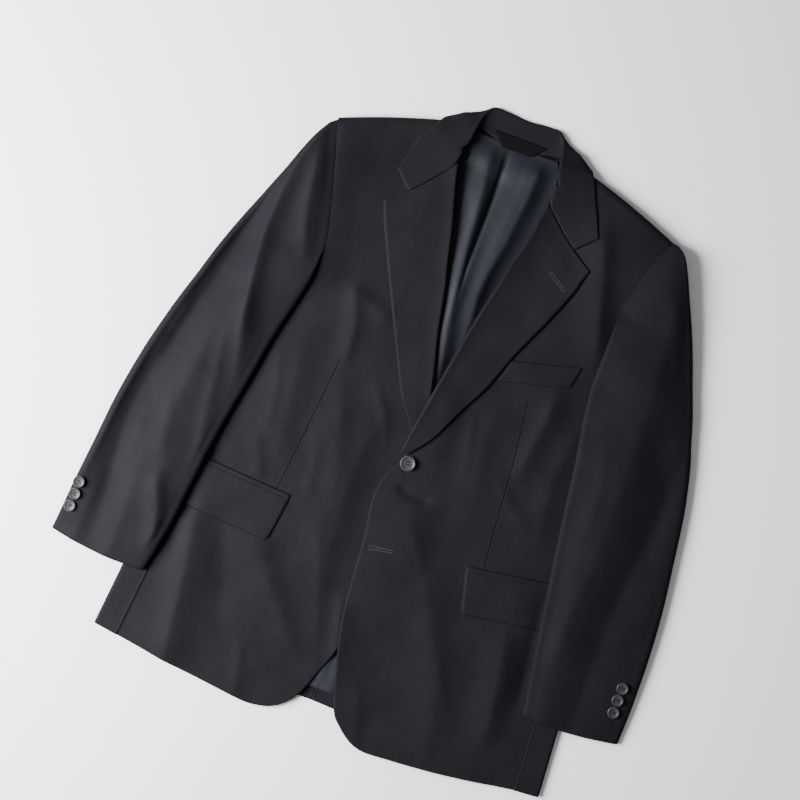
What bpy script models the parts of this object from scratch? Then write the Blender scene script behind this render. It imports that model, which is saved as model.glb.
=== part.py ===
"""Blazer laid out flat on its back, cut and sewn from separate cloth panels.

Frame: +Z up from the table, +Y towards the collar, +X towards the wearer's left.
The origin is on the table under the middle of the garment.
Tables are in millimetres. Each row is one section, and the columns are named above it.
"""
import math

import bmesh
import bpy
import numpy as np
from mathutils import Matrix, Vector

MM = 0.001
NAME = "blazer"

# Walls of the cloth, and the air kept between two pieces.
GAP = 0.35
SEAM_GAP = 1.0
WALL_FRONT = 1.8
WALL_LAPEL = 1.9
WALL_COLLAR = 1.0
WALL_BACK = 1.5
WALL_SLEEVE = 1.5
WALL_LINING = 1.0
WALL_FLAP = 2.0
WALL_JET = 1.6
WALL_WELT = 1.6
WALL_LABEL = 1.0

RIGHT = -1.0
LEFT = 1.0

# Body: y, side fold of the right and of the left, height at the sides, height in the middle.
BODY = np.array([
    (-425, 299, 319, 6.5, 7.0),
    (-385, 297, 318, 6.5, 7.2),
    (-303, 289, 312, 7.0, 8.2),
    (-200, 280, 298, 7.8, 9.6),
    (-100, 271, 285, 8.4, 10.6),
    (0, 268, 277, 9.0, 11.6),
    (104, 274, 276, 10.0, 13.0),
    (220, 276, 278, 11.5, 15.0),
    (420, 276, 278, 13.0, 16.0),
])
SIDE_ROLL = 90.0
SEAM_ON_TOP = 33.0
SEAM_UNDER = 62.0
ARMHOLE_LOW = 104.0

# Shoulder: neck point, shoulder point, how far the line bows up, roundness of its edge.
NECK_POINT = (74.0, 386.0)
SHOULDER_POINT = (229.0, 333.5)
SHOULDER_BOW = 3.0
SHOULDER_EDGE = 11.0
SHOULDER_SEAM = 1.5
PAD_HEIGHT = 8.0
PAD_PLACE = (212.0, 292.0)
PAD_REACH = 55.0
NECK_DIP = 4.0
NECK_DIP_REACH = 45.0

# Fronts: x and y at the front edge, x and y at the armhole, bow of the row.
# Below the armhole the outer x is that of the side seam.
FRONT_LEFT = np.array([
    (104, -420.0, 288, -398.5, -3),
    (84, -420.5, 287, -392, -2),
    (66, -415, 286, -383, -1),
    (47, -401, 284, -369, 0),
    (31, -381, 282, -350, 0),
    (13, -322, 276, -303, 0),
    (0, -265, 268, -250, 0),
    (-6, -210, 260, -200, 0),
    (-10, -160, 253, -150, 0),
    (-17, -112, 248, -100, 0),
    (-13, -78, 244, -60, 0),
    (0, -50, 242, -25, 0),
    (3.5, -12, 241, 15, 0),
    (11, 38, 240, 60, 0),
    (20, 92, 240, 103, 0),
    (26, 128, 222, 111, 0),
    (33, 163, 207, 136, 0),
    (42, 208, 200, 185, 0),
    (52, 248, 197, 226, 0),
    (60, 284, 203, 262, 0),
    (65, 318, 213, 300, 0),
    (72, 350, 222, 320, 1),
    (73, 374, 227, 329, 2),
    (74, 386, 229, 333.5, 3),
])
FRONT_RIGHT = np.array([
    (-96, -411.5, -264, -390, -1),
    (-74, -413, -263, -384, 0),
    (-49, -408, -262, -376, 0),
    (-31, -396, -260, -365, 0),
    (-17, -378, -258, -349, 0),
    (-6, -350, -256, -325, 0),
    (7, -313, -254, -295, 0),
    (17, -265, -251, -250, 0),
    (22, -210, -246, -200, 0),
    (24, -150, -240, -150, 0),
    (24, -100, -237, -100, 0),
    (21, -50, -234, -50, 0),
    (13, -5, -233, 0, 0),
    (4, 40, -235, 50, 0),
    (-9, 92, -238, 103, 0),
    (-18, 128, -215, 109, 0),
    (-26, 165, -196, 122, 0),
    (-34, 200, -187, 150, 0),
    (-42, 235, -191, 190, 0),
    (-51, 270, -203, 240, 0),
    (-60, 302, -214, 280, 0),
    (-68, 330, -221, 305, 0),
    (-73, 358, -225, 320, 1),
    (-74, 376, -228, 329, 2),
    (-74, 386, -229, 333.5, 3),
])

# How much the left front stands off the right one where it laps over it.
LAP = WALL_FRONT + GAP + 0.5
LAP_FULL = 34.0
LAP_END = 90.0
LAPEL_LAP = 2.6
LAPEL_LAP_PLACE = (6.0, 6.0)
LAPEL_LAP_REACH = (58.0, 66.0)

# Lapels: x and y on the roll line, x and y on the outer edge, roll radius, bow of the row.
LAPEL_LEFT = np.array([
    (61, 325, 142, 259, 2.4, -4.6),
    (57, 300, 137, 243, 2.4, -3),
    (55, 279, 131, 222, 2.4, 0),
    (44, 234, 113, 177, 2.5, 0),
    (37, 199, 100, 148, 2.6, 0),
    (29, 163, 87, 118, 2.7, 0),
    (19, 108, 71, 74, 2.8, 0),
    (7, 37, 50, 34, 2.8, 0),
    (0, -8, 30, -8, 2.6, 0),
    (-3, -30, 14, -30, 2.3, 0),
    (-3.5, -40.5, 5, -40.5, 2.0, 0),
])
LAPEL_RIGHT = np.array([
    (-64, 331, -137, 253, 2.4, -6),
    (-58, 306, -129, 232, 2.4, -4),
    (-50, 278, -120, 212, 2.4, -1),
    (-42, 250, -107, 185, 2.5, 0),
    (-32, 208, -92, 154, 2.6, 0),
    (-23, 174, -78, 126, 2.7, 0),
    (-12, 120, -60, 90, 2.7, 0),
    (0, 73, -42, 54, 2.4, 0),
    (8, 36, -26, 24, 1.7, 0),
    (14, 4, -4, -6, 1.3, 0),
    (19, -24, 10, -28, 1.3, 0),
])
LAPEL_LIFT = 0.6
LAPEL_TURN = 0.4
LAPEL_FALL = 13.0

# Collar, left half: seam x, y, z; roll x, y, z; bend x, y, z; outer edge x, y, z.
# The first heights are above the front, and those from ON_SHOULDER on are above the table.
# RIGHT_SHIFT moves the first sections of the right half, in x and y.
# The first seams are on the gorge, where GORGE gives the share of the lapel's upper edge.
COLLAR = np.array([
    (0, 0, 0, 116, 281, 1.5, 126, 291, 1.5, 137, 302, 1.5),
    (0, 0, 0, 97, 297, 1.8, 114, 305, 1.8, 132, 314, 1.5),
    (0, 0, 0, 80.5, 311.5, 2.6, 104, 319, 2.2, 127, 327, 1.5),
    (0, 0, 0, 65, 327.5, 4.4, 93, 333, 2.8, 121, 340, 1.5),
    (68, 342, 2.2, 63, 342, 3.8, 90, 348, 3.6, 115, 353, 1.6),
    (75, 357, 1.3, 61, 358, 3.8, 87, 363, 3.8, 109, 366, 1.8),
    (71, 373, 1.5, 58, 377, 3.6, 84, 381, 3.4, 104, 376, 2.6),
    (66, 384, 9.0, 55.5, 396, 11.5, 79, 396.5, 9.5, 99, 384, 5.0),
    (58, 386, 7.5, 51.5, 409, 8.0, 66, 403, 3.5, 88, 374, 0.9),
    (46, 384, 5.8, 44, 417.5, 5.0, 50, 409, 1.4, 63, 362, 0.9),
    (28, 380, 5.0, 26, 418, 3.2, 28, 408, 0.9, 34, 355, 0.9),
    (0, 378, 4.8, 0, 416, 3.0, 0, 407, 0.9, 0, 352, 0.9),
])
ON_SHOULDER = 7
GORGE = (0.64, 0.42, 0.22, 0.045)
GORGE_GAP = 1.3
RIGHT_SHIFT = ((3, -4.5), (1.5, -2.2), (0, 1.5), (-2.5, 5.5), (-1, 4))
COLLAR_TURN = 1.5
COLLAR_ROLL = 1.4

# The back rises over the fall of the collar, which lies between it and the table.
BACK_LIFT = 2.3
FALL_EDGE = (352.0, 31.0, 99.0)
NAPE_Y = 379.0

# Back hem and back armhole: y and half width at the armhole, for right and left.
HEM_BACK = np.array([(-297, -385), (0, -382), (318, -396)])
ARMHOLE_BACK = np.array([
    (104, 210.5, 212.5),
    (122, 203, 213),
    (150, 193, 206),
    (190, 192, 199),
    (226, 199, 196),
    (262, 209, 202),
    (300, 220, 213),
    (333.5, 229, 229),
])

# Sleeves: seam or inner fold x, y; outer fold x, y; share that is folded under,
# width folded under, start of the under sleeve, height at the outer fold, crown.
SLEEVE_LEFT = np.array([
    (229.9, 333, 238, 330.5, 0, 0, 0.6, 20, 0),
    (222.9, 320, 250, 321, 0, 0, 0.6, 21, 1),
    (214.9, 303, 262, 300, 0, 0, 0.6, 21, 2),
    (206.9, 276, 276, 270, 0, 0, 0.6, 20, 3),
    (201, 250, 291, 238, 0, 0, 0.6, 18, 4),
    (198, 226, 305, 205, 0, 0, 0.8, 16, 5),
    (196, 196, 319, 168, 0.5, 3, 7, 14, 5),
    (195, 160, 333, 131, 0.8, 8, 13, 13, 5),
    (195, 124, 344, 97, 1, 12, 21, 12, 5),
    (199, 88, 353, 70, 1, 15, 15.6, 11.5, 5),
    (205, 50, 361, 38, 1, 15, 15.6, 11, 5),
    (211, 14, 368, 4, 1, 15, 15.6, 10.5, 5),
    (220, -50, 377, -58, 1, 15, 15.6, 10, 5),
    (230, -115, 385, -118, 1, 15, 15.6, 9.5, 4.5),
    (240, -178, 389.5, -178, 1, 15, 15.6, 9, 4),
    (250, -238, 391, -235, 1, 15, 15.6, 8, 3.5),
    (256, -272, 391, -268, 1, 15, 15.6, 7.5, 3),
    (260, -304, 390, -297, 1, 15, 15.6, 7, 2.5),
])
SLEEVE_RIGHT = np.array([
    (-229.6, 332.5, -238, 322, 0, 0, 0.6, 20, 0),
    (-226.4, 315, -250, 300, 0, 0, 0.6, 21, 1),
    (-221.4, 298, -260, 275, 0, 0, 0.6, 21, 2),
    (-214.4, 275, -269, 250, 0, 0, 0.6, 20, 3),
    (-207.4, 250, -279, 226, 0, 0, 0.6, 18, 4),
    (-200.4, 224, -290, 199, 0, 0, 0.6, 17, 5),
    (-194.4, 198, -300, 174, 0, 0, 0.6, 16, 5),
    (-189.4, 172, -310, 146, 0, 0, 7, 15, 5),
    (-187.4, 146, -320, 115, 0.3, 2, 14, 14, 5),
    (-189, 118, -329, 84, 0.9, 9, 19, 13, 5),
    (-197, 84, -339, 52, 1, 15, 15.6, 12, 5),
    (-206, 46, -349, 16, 1, 15, 15.6, 11, 5),
    (-218, -24, -361, -34, 1, 15, 15.6, 10.5, 5),
    (-231, -100, -372, -98, 1, 15, 15.6, 10, 4.5),
    (-240, -175, -379, -168, 1, 15, 15.6, 9, 4),
    (-247, -235, -385, -225, 1, 15, 15.6, 8, 3.5),
    (-253, -268, -388, -260, 1, 15, 15.6, 7.5, 3),
    (-260, -299, -391, -290, 1, 15, 15.6, 7, 2.5),
])
SLEEVE_CLEAR = 1.2
SLEEVE_HEAD = 2.2
HEAD_OPEN = 0.5
SLEEVE_ROWS = 24
UNDER_SLEEVE_ROWS = 22
SLEEVE_ACROSS = (0.1, 0.24, 0.4, 0.56, 0.72, 0.87)
FOLD_ANGLES = (-90, -40, 10, 60)
FLAT_STEP = 1.2
FLAT_SHARE = 0.02
FOLD_REACH = 4.5
SLEEVE_FOLD = 7.0
SLEEVE_STEP = 18.0
SLEEVE_HEM_OUT = 9.0
UNDERARM_RAMP = (152.0, 122.0)
CUFF_BOW = -4.0

# Flap pockets: upper front corner, run to the upper back corner, run down the front end.
FLAPS = {
    "right": dict(corner=(-117.5, -149.0), along=(-148.0, 9.0), down=(-8.0, -58.0)),
    "left": dict(corner=(129.0, -155.0), along=(144.0, 21.0), down=(13.0, -53.0)),
}
FLAP_ROUND = 9.0
JET_HEIGHT = 5.0
FLAP_REACH = 24.0
FLAP_COVER = WALL_FLAP + 1.0
FLAP_DEPTH = 62.0
JET_GAP = 0.8
ON_FRONT = 0.6

# Breast welt: lower front corner, run along it, run up.
WELT = dict(corner=(82.0, 88.2), along=(89.0, 23.5), up=(5.5, 29.0))

# Back lining: y, middle x, half width.
LINING = np.array([
    (368, 0, 46),
    (352, 0, 60),
    (322, 0, 70),
    (250, 2, 66),
    (160, 3, 52),
    (60, 4, 42),
    (-60, 6, 36),
    (-200, 8, 34),
    (-300, 10, 36),
    (-365, 10, 46),
])
LINING_GAP = 1.1
LINING_WAVE = 1.6
LINING_PLEAT = 2.2

LABEL = dict(corner=(-35.0, 372.5), width=71.0, height=17.0, z=6.2)

BUTTON_FRONT = dict(radius=10.0, height=3.6, rim=1.6, hole=1.05, pitch=1.9)
BUTTON_CUFF = dict(radius=7.7, height=3.0, rim=1.3, hole=0.8, pitch=1.5)
BUTTON_DISH = 1.1
BUTTON_DISH_SLOPE = 1.4
BUTTON_EDGE = (0.5, 0.9)
BUTTON_FOOT = (2.2, 0.9)
BUTTON_SIDES = 12
HOLE_SIDES = 6
FRONT_BUTTON_AT = (10.0, -51.5)
LOWER_BUTTON_AT = (8.0, -166.0)
LOWER_BUTTON_REACH = 30.0
CUFF_BUTTONS = {
    "right": [(-376.0, -220.5), (-376.0, -237.0), (-377.0, -253.5)],
    "left": [(369.0, -226.0), (368.5, -242.5), (369.0, -259.0)],
}

# Folds: x, y at one end, x, y at the other, half width, height.
FOLDS_BODY = [
    (-205, -215, -190, -330, 16, 2.4),
    (-178, -225, -205, -300, 11, -1.6),
    (-165, -215, -135, -345, 18, 2.2),
    (-150, -225, -140, -320, 10, -1.2),
    (-120, -225, -90, -330, 16, 1.6),
    (-20, -70, 60, -95, 9, -1.4),
    (160, 110, 150, -40, 16, 1.8),
    (120, 90, 110, -60, 14, 1.2),
    (215, -240, 235, -360, 14, -1.6),
    (190, -230, 200, -360, 16, 1.6),
    (-150, 60, -150, -120, 18, 1.4),
    (-60, 20, -90, -140, 16, 1.2),
]
FOLDS_SLEEVE = {
    "right": [
        (-240, 300, -262, 90, 14, 3.0),
        (-225, 250, -240, 40, 9, -2.0),
        (-300, 130, -345, -110, 22, 2.6),
        (-270, 60, -300, -150, 13, -2.2),
        (-255, -20, -275, -200, 12, 2.4),
        (-335, -170, -345, -270, 13, 1.6),
    ],
    "left": [
        (300, 120, 325, -110, 15, -2.6),
        (255, 210, 290, -20, 15, 2.4),
        (230, 60, 262, -180, 12, 2.0),
        (345, 60, 360, -200, 16, 1.8),
        (280, -120, 310, -270, 12, -1.8),
    ],
}

CLOTH = (0.021, 0.021, 0.026, 1.0)
SATIN = (0.075, 0.09, 0.105, 1.0)
HORN = (0.05, 0.05, 0.055, 1.0)
WOVEN = (0.012, 0.012, 0.014, 1.0)


def smooth(t):
    t = min(max(t, 0.0), 1.0)
    return t * t * (3.0 - 2.0 * t)


def mix(a, b, t):
    return a + (b - a) * t


def along(table, t):
    """Row of a table at t from 0 to 1, on a smooth curve through its rows."""
    last = len(table) - 1
    place = min(max(t, 0.0), 1.0) * last
    i = min(int(place), last - 1)
    f = place - i
    p1 = table[i]
    p2 = table[i + 1]
    p0 = table[i - 1] if i > 0 else 2 * p1 - p2
    p3 = table[i + 2] if i + 2 <= last else 2 * p2 - p1
    return 0.5 * (2 * p1 + (p2 - p0) * f + (2 * p0 - 5 * p1 + 4 * p2 - p3) * f * f
                  + (3 * p1 - p0 - 3 * p2 + p3) * f ** 3)


def body_row(y):
    return [float(np.interp(y, BODY[:, 0], BODY[:, k])) for k in range(1, 5)]


def side_fold(side, y):
    return body_row(y)[1 if side == LEFT else 0]


def inside(x, y):
    """Distance inside the side fold of the body."""
    return side_fold(LEFT if x > 0 else RIGHT, y) - abs(x)


def fold_height(folds, x, y):
    """Sum of soft ridges and troughs, each fading out at its two ends."""
    total = 0.0
    for x0, y0, x1, y1, half, height in folds:
        length = math.hypot(x1 - x0, y1 - y0)
        ux, uy = (x1 - x0) / length, (y1 - y0) / length
        s = (x - x0) * ux + (y - y0) * uy
        d = (x - x0) * uy - (y - y0) * ux
        end = smooth((s + half) / (2 * half)) * smooth((length - s + half) / (2 * half))
        total += height * math.exp(-(d / half) ** 2) * end
    return total


def shoulder_line(x):
    t = (abs(x) - NECK_POINT[0]) / (SHOULDER_POINT[0] - NECK_POINT[0])
    bow = SHOULDER_BOW * math.sin(math.pi * min(max(t, 0.0), 1.0))
    return mix(NECK_POINT[1], SHOULDER_POINT[1], t) + bow


def body_top(x, y):
    """Outer height of the fronts above the table, without the lap."""
    side, middle = body_row(y)[2:]
    past_seam = inside(x, y) - SEAM_ON_TOP
    z = mix(side, middle, smooth(past_seam / SIDE_ROLL))
    away = math.hypot(abs(x) - PAD_PLACE[0], y - PAD_PLACE[1]) / PAD_REACH
    z += PAD_HEIGHT * math.exp(-away * away)
    away = math.hypot(abs(x) - NECK_POINT[0], y - NECK_POINT[1]) / NECK_DIP_REACH
    z -= NECK_DIP * math.exp(-away * away)
    z += fold_height(FOLDS_BODY, x, y) * smooth(past_seam / 30.0)
    depth = (shoulder_line(x) - y) * 0.947 / SHOULDER_EDGE
    if depth < 1.0:
        low = z * 0.5 + SHOULDER_SEAM
        z = mix(low, z, math.sqrt(max(1.0 - (1.0 - max(depth, 0.0)) ** 2, 0.0)))
    return z


def lap(x, y):
    """Extra height of the left front over the right front, its lapel and lower button."""
    over = LAP * (1.0 - smooth((x - LAP_FULL) / (LAP_END - LAP_FULL)))
    dx = (x - LAPEL_LAP_PLACE[0]) / LAPEL_LAP_REACH[0]
    dy = (y - LAPEL_LAP_PLACE[1]) / LAPEL_LAP_REACH[1]
    over += LAPEL_LAP * (1.0 - smooth((math.hypot(dx, dy) - 0.55) / 0.5))
    away = math.hypot(x - LOWER_BUTTON_AT[0], y - LOWER_BUTTON_AT[1])
    free = (away - BUTTON_FRONT["radius"] - 5.0) / LOWER_BUTTON_REACH
    return over + (BUTTON_FRONT["height"] + 2 * GAP) * (1.0 - smooth(free))


def front_top(side, x, y):
    return body_top(x, y) + (lap(x, y) if side == LEFT else 0.0)


def front_point(side, u, v):
    x0, y0, x1, y1, bow = along(FRONT_LEFT if side == LEFT else FRONT_RIGHT, v)
    if y1 < ARMHOLE_LOW:
        x1 = side * (side_fold(side, y1) - SEAM_ON_TOP - SEAM_GAP)
    x = mix(x0, x1, u)
    y = mix(y0, y1, u) + bow * math.sin(math.pi * u)
    return x, y, front_top(side, x, y)


def hem_back(x):
    return float(np.interp(x, HEM_BACK[:, 0], HEM_BACK[:, 1]))


def side_point(side, u, v):
    """Side panel: under the body, round its fold and on to the front."""
    hem_seam = (FRONT_LEFT if side == LEFT else FRONT_RIGHT)[0][3]
    y = mix(hem_seam, ARMHOLE_LOW, v)
    radius = body_row(y)[2] / 2.0
    flat_under = SEAM_UNDER - radius
    turn = math.pi * radius
    run = u * (flat_under + turn + SEAM_ON_TOP - radius)
    if run < flat_under:
        inset, z = SEAM_UNDER - run, 0.0
    elif run < flat_under + turn:
        angle = (run - flat_under) / radius - math.pi / 2
        inset, z = radius * (1 - math.cos(angle)), radius * (1 + math.sin(angle))
    else:
        inset, z = radius + run - flat_under - turn, 2 * radius
    x = side * (side_fold(side, y) - inset)
    hem = hem_back(x)
    if run > flat_under + turn / 2:
        hem = mix(hem_back(side * side_fold(side, y)), hem_seam, inset / SEAM_ON_TOP)
    return x, mix(hem, ARMHOLE_LOW, v), z


def back_outer(side, y):
    if y < ARMHOLE_LOW:
        return side_fold(side, y) - SEAM_UNDER - SEAM_GAP
    return float(np.interp(y, ARMHOLE_BACK[:, 0], ARMHOLE_BACK[:, 2 if side == LEFT else 1]))


def back_top_edge(x):
    if abs(x) > NECK_POINT[0]:
        return shoulder_line(x)
    return mix(NAPE_Y, NECK_POINT[1], (x / NECK_POINT[0]) ** 2)


def under_back(x, y):
    """Height of the underside of the back, over the fall of the collar."""
    start, rise, reach = FALL_EDGE
    edge = start + rise * (x / reach) ** 2
    lift = BACK_LIFT * smooth((y - edge + 26.0) / 20.0)
    return lift * (1.0 - smooth((abs(x) - reach - 4.0) / 18.0))


def back_point(side, u, v):
    v = 1.0 - (1.0 - v) ** 1.7
    y_out = mix(hem_back(side * side_fold(side, -385.0)), SHOULDER_POINT[1], v)
    x = side * mix(GAP / 2, back_outer(side, y_out), u)
    y = mix(hem_back(x), back_top_edge(x), v)
    z = under_back(x, y)
    depth = (shoulder_line(x) - y) * 0.947 / SHOULDER_EDGE
    if depth < 1.0 and abs(x) > NECK_POINT[0] - 12.0:
        high = body_top(x, shoulder_line(x) - SHOULDER_EDGE * 1.1) * 0.5 - SHOULDER_SEAM
        round_off = 1.0 - math.sqrt(max(1.0 - (1.0 - max(depth, 0.0)) ** 2, 0.0))
        z = mix(z, high, round_off * smooth((abs(x) - NECK_POINT[0] + 12.0) / 12.0))
    return x, y, z


def lapel_point(side, u, v):
    """Middle of the lapel's cloth: up round the roll line, then out over the front."""
    x0, y0, x1, y1, radius, bow = along(LAPEL_LEFT if side == LEFT else LAPEL_RIGHT, v)
    width = math.hypot(x1 - x0, y1 - y0)
    ux, uy = (x1 - x0) / width, (y1 - y0) / width
    middle = front_top(side, x0 + radius * ux, y0 + radius * uy) - WALL_FRONT / 2
    if u < LAPEL_TURN:
        angle = math.pi * (u / LAPEL_TURN - 0.5)
        s = radius * (1 - math.cos(angle))
        return x0 + s * ux, y0 + s * uy, middle + radius * (1 + math.sin(angle))
    s = mix(radius, width, (u - LAPEL_TURN) / (1 - LAPEL_TURN))
    x, y = x0 + s * ux, y0 + s * uy + bow * math.sin(math.pi * s / width)
    rest = LAPEL_LIFT + WALL_LAPEL / 2
    start = 2 * radius - WALL_FRONT / 2
    lift = rest + (start - rest) * math.exp(-(s - radius) / LAPEL_FALL)
    return x, y, front_top(side, x, y) + lift


def rolled(seam, roll, bend, course):
    """Five points round the roll line: a half circle across it, or a bend in the collar's ends."""
    down, up = (seam - roll).normalized(), (bend - roll).normalized()
    if down.dot(up) < 0.0:
        step = min(COLLAR_TURN, 0.5 * (seam - roll).length)
        return [roll + way * step * share for way, share in
                ((down, 1.0), (down, 0.5), (down, 0.0), (up, 0.5), (up, 1.0))]
    out = (down - up) - (down - up).project(course)
    out = out.normalized() * COLLAR_ROLL
    middle = (down + up) - (down + up).project(course)
    middle = (middle - middle.project(out)).normalized() * COLLAR_ROLL
    return [roll + middle * (1.0 - math.cos(math.radians(a))) + out * math.sin(math.radians(a))
            for a in (90, 45, 0, -45, -90)]


def gorge_point(side, share):
    """Middle of the collar's cloth where it is sewn to the upper edge of the lapel."""
    x0, y0, x1, y1, radius, _ = (LAPEL_LEFT if side == LEFT else LAPEL_RIGHT)[0]
    width = math.hypot(x1 - x0, y1 - y0)
    u = mix(LAPEL_TURN, 1.0, (share * width - radius) / (width - radius))
    x, y, z = lapel_point(side, u, 0.0)
    away = Vector((y0 - y1, x1 - x0)).normalized() * side
    return Vector((x + away.x * GORGE_GAP, y + away.y * GORGE_GAP, z))


def collar_corners(side, k):
    """Seam, roll line, bend and outer edge of the collar at one section."""
    points = [Vector(COLLAR[k][3 * i:3 * i + 3]) for i in range(4)]
    for p in points:
        p.x *= side
        if side == RIGHT and k < len(RIGHT_SHIFT):
            p.x += RIGHT_SHIFT[k][0]
            p.y += RIGHT_SHIFT[k][1]
        if k < ON_SHOULDER:
            p.z += front_top(side, p.x, p.y)
    if k < len(GORGE):
        points[0] = gorge_point(side, GORGE[k])
    return points


def collar_section(side, k):
    seam, roll, bend, edge = collar_corners(side, k)
    before, after = max(k - 1, 0), min(k + 1, len(COLLAR) - 1)
    course = collar_corners(side, after)[1] - collar_corners(side, before)[1]
    return [tuple(p) for p in (seam, *rolled(seam, roll, bend, course), bend, edge)]


def collar_stations():
    """All sections of the collar, right end to left end, eight points each."""
    right = [collar_section(RIGHT, k) for k in range(len(COLLAR))]
    left = [collar_section(LEFT, k) for k in range(len(COLLAR))]
    return np.array(right + left[-2::-1])


def collar_point(stations, u, v):
    points = along(stations, v)
    place = u * (len(points) - 1)
    i = min(int(place), len(points) - 2)
    return tuple(float(c) for c in mix(points[i], points[i + 1], place - i))


def flap_cover(side, x, y):
    """1 over a pocket flap, fading to 0 around it."""
    flap = FLAPS["left" if side == LEFT else "right"]
    ax, ay = flap["along"]
    length = math.hypot(ax, ay)
    dx, dy = x - flap["corner"][0], y - flap["corner"][1]
    a = (dx * ax + dy * ay) / length
    d = (dx * ay - dy * ax) / length * side
    reach = FLAP_REACH
    return (smooth((a + reach) / reach) * smooth((length + reach - a) / reach)
            * smooth((d + JET_HEIGHT + reach) / reach) * smooth((FLAP_DEPTH + reach - d) / reach))


def over_body(side, x, y):
    """Lowest height of a sleeve where it lies on the body."""
    z = front_top(side, x, y) + SLEEVE_CLEAR
    return z + FLAP_COVER * flap_cover(side, x, y)


class Sleeve:
    """One flattened sleeve, read across at t from the shoulder to the cuff."""

    def __init__(self, side, t):
        self.side = side
        self.t = t
        table = SLEEVE_LEFT if side == LEFT else SLEEVE_RIGHT
        row = along(table, t)
        self.x0, self.y0, self.x1, self.y1, share, self.wrap, self.start, self.z1, crown = row
        self.crown = crown
        self.share = min(max(share, 0.0), 1.0)
        self.width = math.hypot(self.x1 - self.x0, self.y1 - self.y0)
        joined = front_top(side, self.x0, self.y0)
        folded = over_body(side, self.x0, self.y0) + SLEEVE_FOLD
        self.z0 = mix(joined, folded, math.sqrt(self.share))
        head = min(t * (len(table) - 1) / SLEEVE_HEAD, 1.0)
        self.rise = mix(HEAD_OPEN, 1.0, math.sqrt(1.0 - (1.0 - head) ** 2))
        self.out = min(SLEEVE_HEM_OUT, 0.25 * self.width)

    def place(self, s):
        f = s / self.width
        bow = CUFF_BOW * math.sin(math.pi * min(max(f, 0.0), 1.0)) * self.t ** 16
        return mix(self.x0, self.x1, f), mix(self.y0, self.y1, f) + bow

    def level(self, z):
        return mix(0.5 * self.z1, z, self.rise)

    def top(self, s):
        x, y = self.place(s)
        f = s / self.width
        z = mix(self.z0, self.z1, smooth(f)) + self.crown * math.sin(math.pi * f)
        edge = min(f, 1.0 - f) * self.width
        folds = FOLDS_SLEEVE["left" if self.side == LEFT else "right"]
        z += fold_height(folds, x, y) * smooth(edge / 20.0)
        return x, y, self.level(z)

    def bottom(self, s, ramped):
        x, y = self.place(s)
        z = over_body(self.side, x, y) * smooth((inside(x, y) + SLEEVE_STEP) / SLEEVE_STEP)
        if ramped:
            high, low = UNDERARM_RAMP
            z *= smooth((high - y) / (high - low))
        return x, y, self.level(z)

    def rounded(self, s_edge, way, angle):
        """Point on a fold: s_edge is the fold's own place, way points into the sleeve."""
        reach = min(FOLD_REACH, 0.1 * self.width)
        top = self.top(s_edge + way * reach)[2]
        low = self.bottom(s_edge + way * reach, way < 0)[2]
        x, y = self.place(s_edge + way * reach * (1 - math.cos(angle)))
        return x, y, (top + low) / 2 + (top - low) / 2 * math.sin(angle)


def sleeve_top_point(side, u, v):
    cut = Sleeve(side, v)
    inner = len(FOLD_ANGLES) + 1
    across = len(SLEEVE_ACROSS)
    k = int(round(u * (2 * inner + across - 1)))
    if k < inner:
        flat = cut.top(k * min(FLAT_STEP, FLAT_SHARE * cut.width))
        if k == 0:
            under = cut.bottom(max(cut.wrap, 1.0), False)
        else:
            under = cut.rounded(0.0, 1, math.radians(FOLD_ANGLES[k - 1]))
        return tuple(mix(a, b, cut.share) for a, b in zip(flat, under))
    k -= inner
    if k < across:
        return cut.top(cut.width * SLEEVE_ACROSS[k])
    k -= across
    if k == inner - 1:
        return cut.bottom(cut.width - cut.out, True)
    return cut.rounded(cut.width, -1, math.radians(FOLD_ANGLES[-1 - k]))


def sleeve_under_point(side, u, v):
    """Under sleeve: columns stand closest where it climbs on to the body."""
    cut = Sleeve(side, mix(1.0 - UNDER_SLEEVE_ROWS / SLEEVE_ROWS, 1.0, v))
    first, last = cut.start, cut.width - cut.out - GAP
    low, high = 0.0, cut.width
    for _ in range(20):
        edge = (low + high) / 2
        if inside(*cut.place(edge)) > 0:
            low = edge
        else:
            high = edge
    climb = [min(max(edge + step, first + 2.0 * (k + 1)), last - 2.0 * (3 - k))
             for k, step in enumerate((-2.0, 8.0, SLEEVE_STEP))]
    columns = [first, (first + climb[0]) / 2, *climb, (climb[2] + last) / 2, last]
    return cut.bottom(columns[int(round(u * (len(columns) - 1)))], True)


def lining_point(u, v):
    y = mix(LINING[0][0], LINING[-1][0], v)
    middle = float(np.interp(-y, -LINING[:, 0], LINING[:, 1]))
    half = float(np.interp(-y, -LINING[:, 0], LINING[:, 2]))
    x = middle + half * (2 * u - 1)
    fade = smooth((366 - y) / 40.0) * mix(0.25, 1.0, smooth((y + 280.0) / 160.0))
    wave = LINING_WAVE * (1 + math.sin(x / 9.0 + y / 70.0)) / 2
    pleat = LINING_PLEAT * math.exp(-((x - 6.0) / 7.0) ** 2)
    return x, y, under_back(x, y) + WALL_BACK + LINING_GAP + fade * (wave + pleat)


def patch_point(side, corner, run, rise, round_end=0.0):
    """Function of a small flat piece that lies on a front, its far corners rounded."""
    length, depth = math.hypot(*run), math.hypot(*rise)

    def point(u, v):
        v = v * (2.0 - v) if round_end else v
        past = max(v * depth - depth + round_end, 0.0)
        cut_in = (round_end - math.sqrt(max(round_end ** 2 - past ** 2, 0.0))) / length
        u = mix(cut_in, 1.0 - cut_in, u)
        x = corner[0] + u * run[0] + v * rise[0]
        y = corner[1] + u * run[1] + v * rise[1]
        return x, y, front_top(side, x, y) + ON_FRONT

    return point


def label_point(u, v):
    return LABEL["corner"][0] + u * LABEL["width"], LABEL["corner"][1] + v * LABEL["height"], LABEL["z"]


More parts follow.
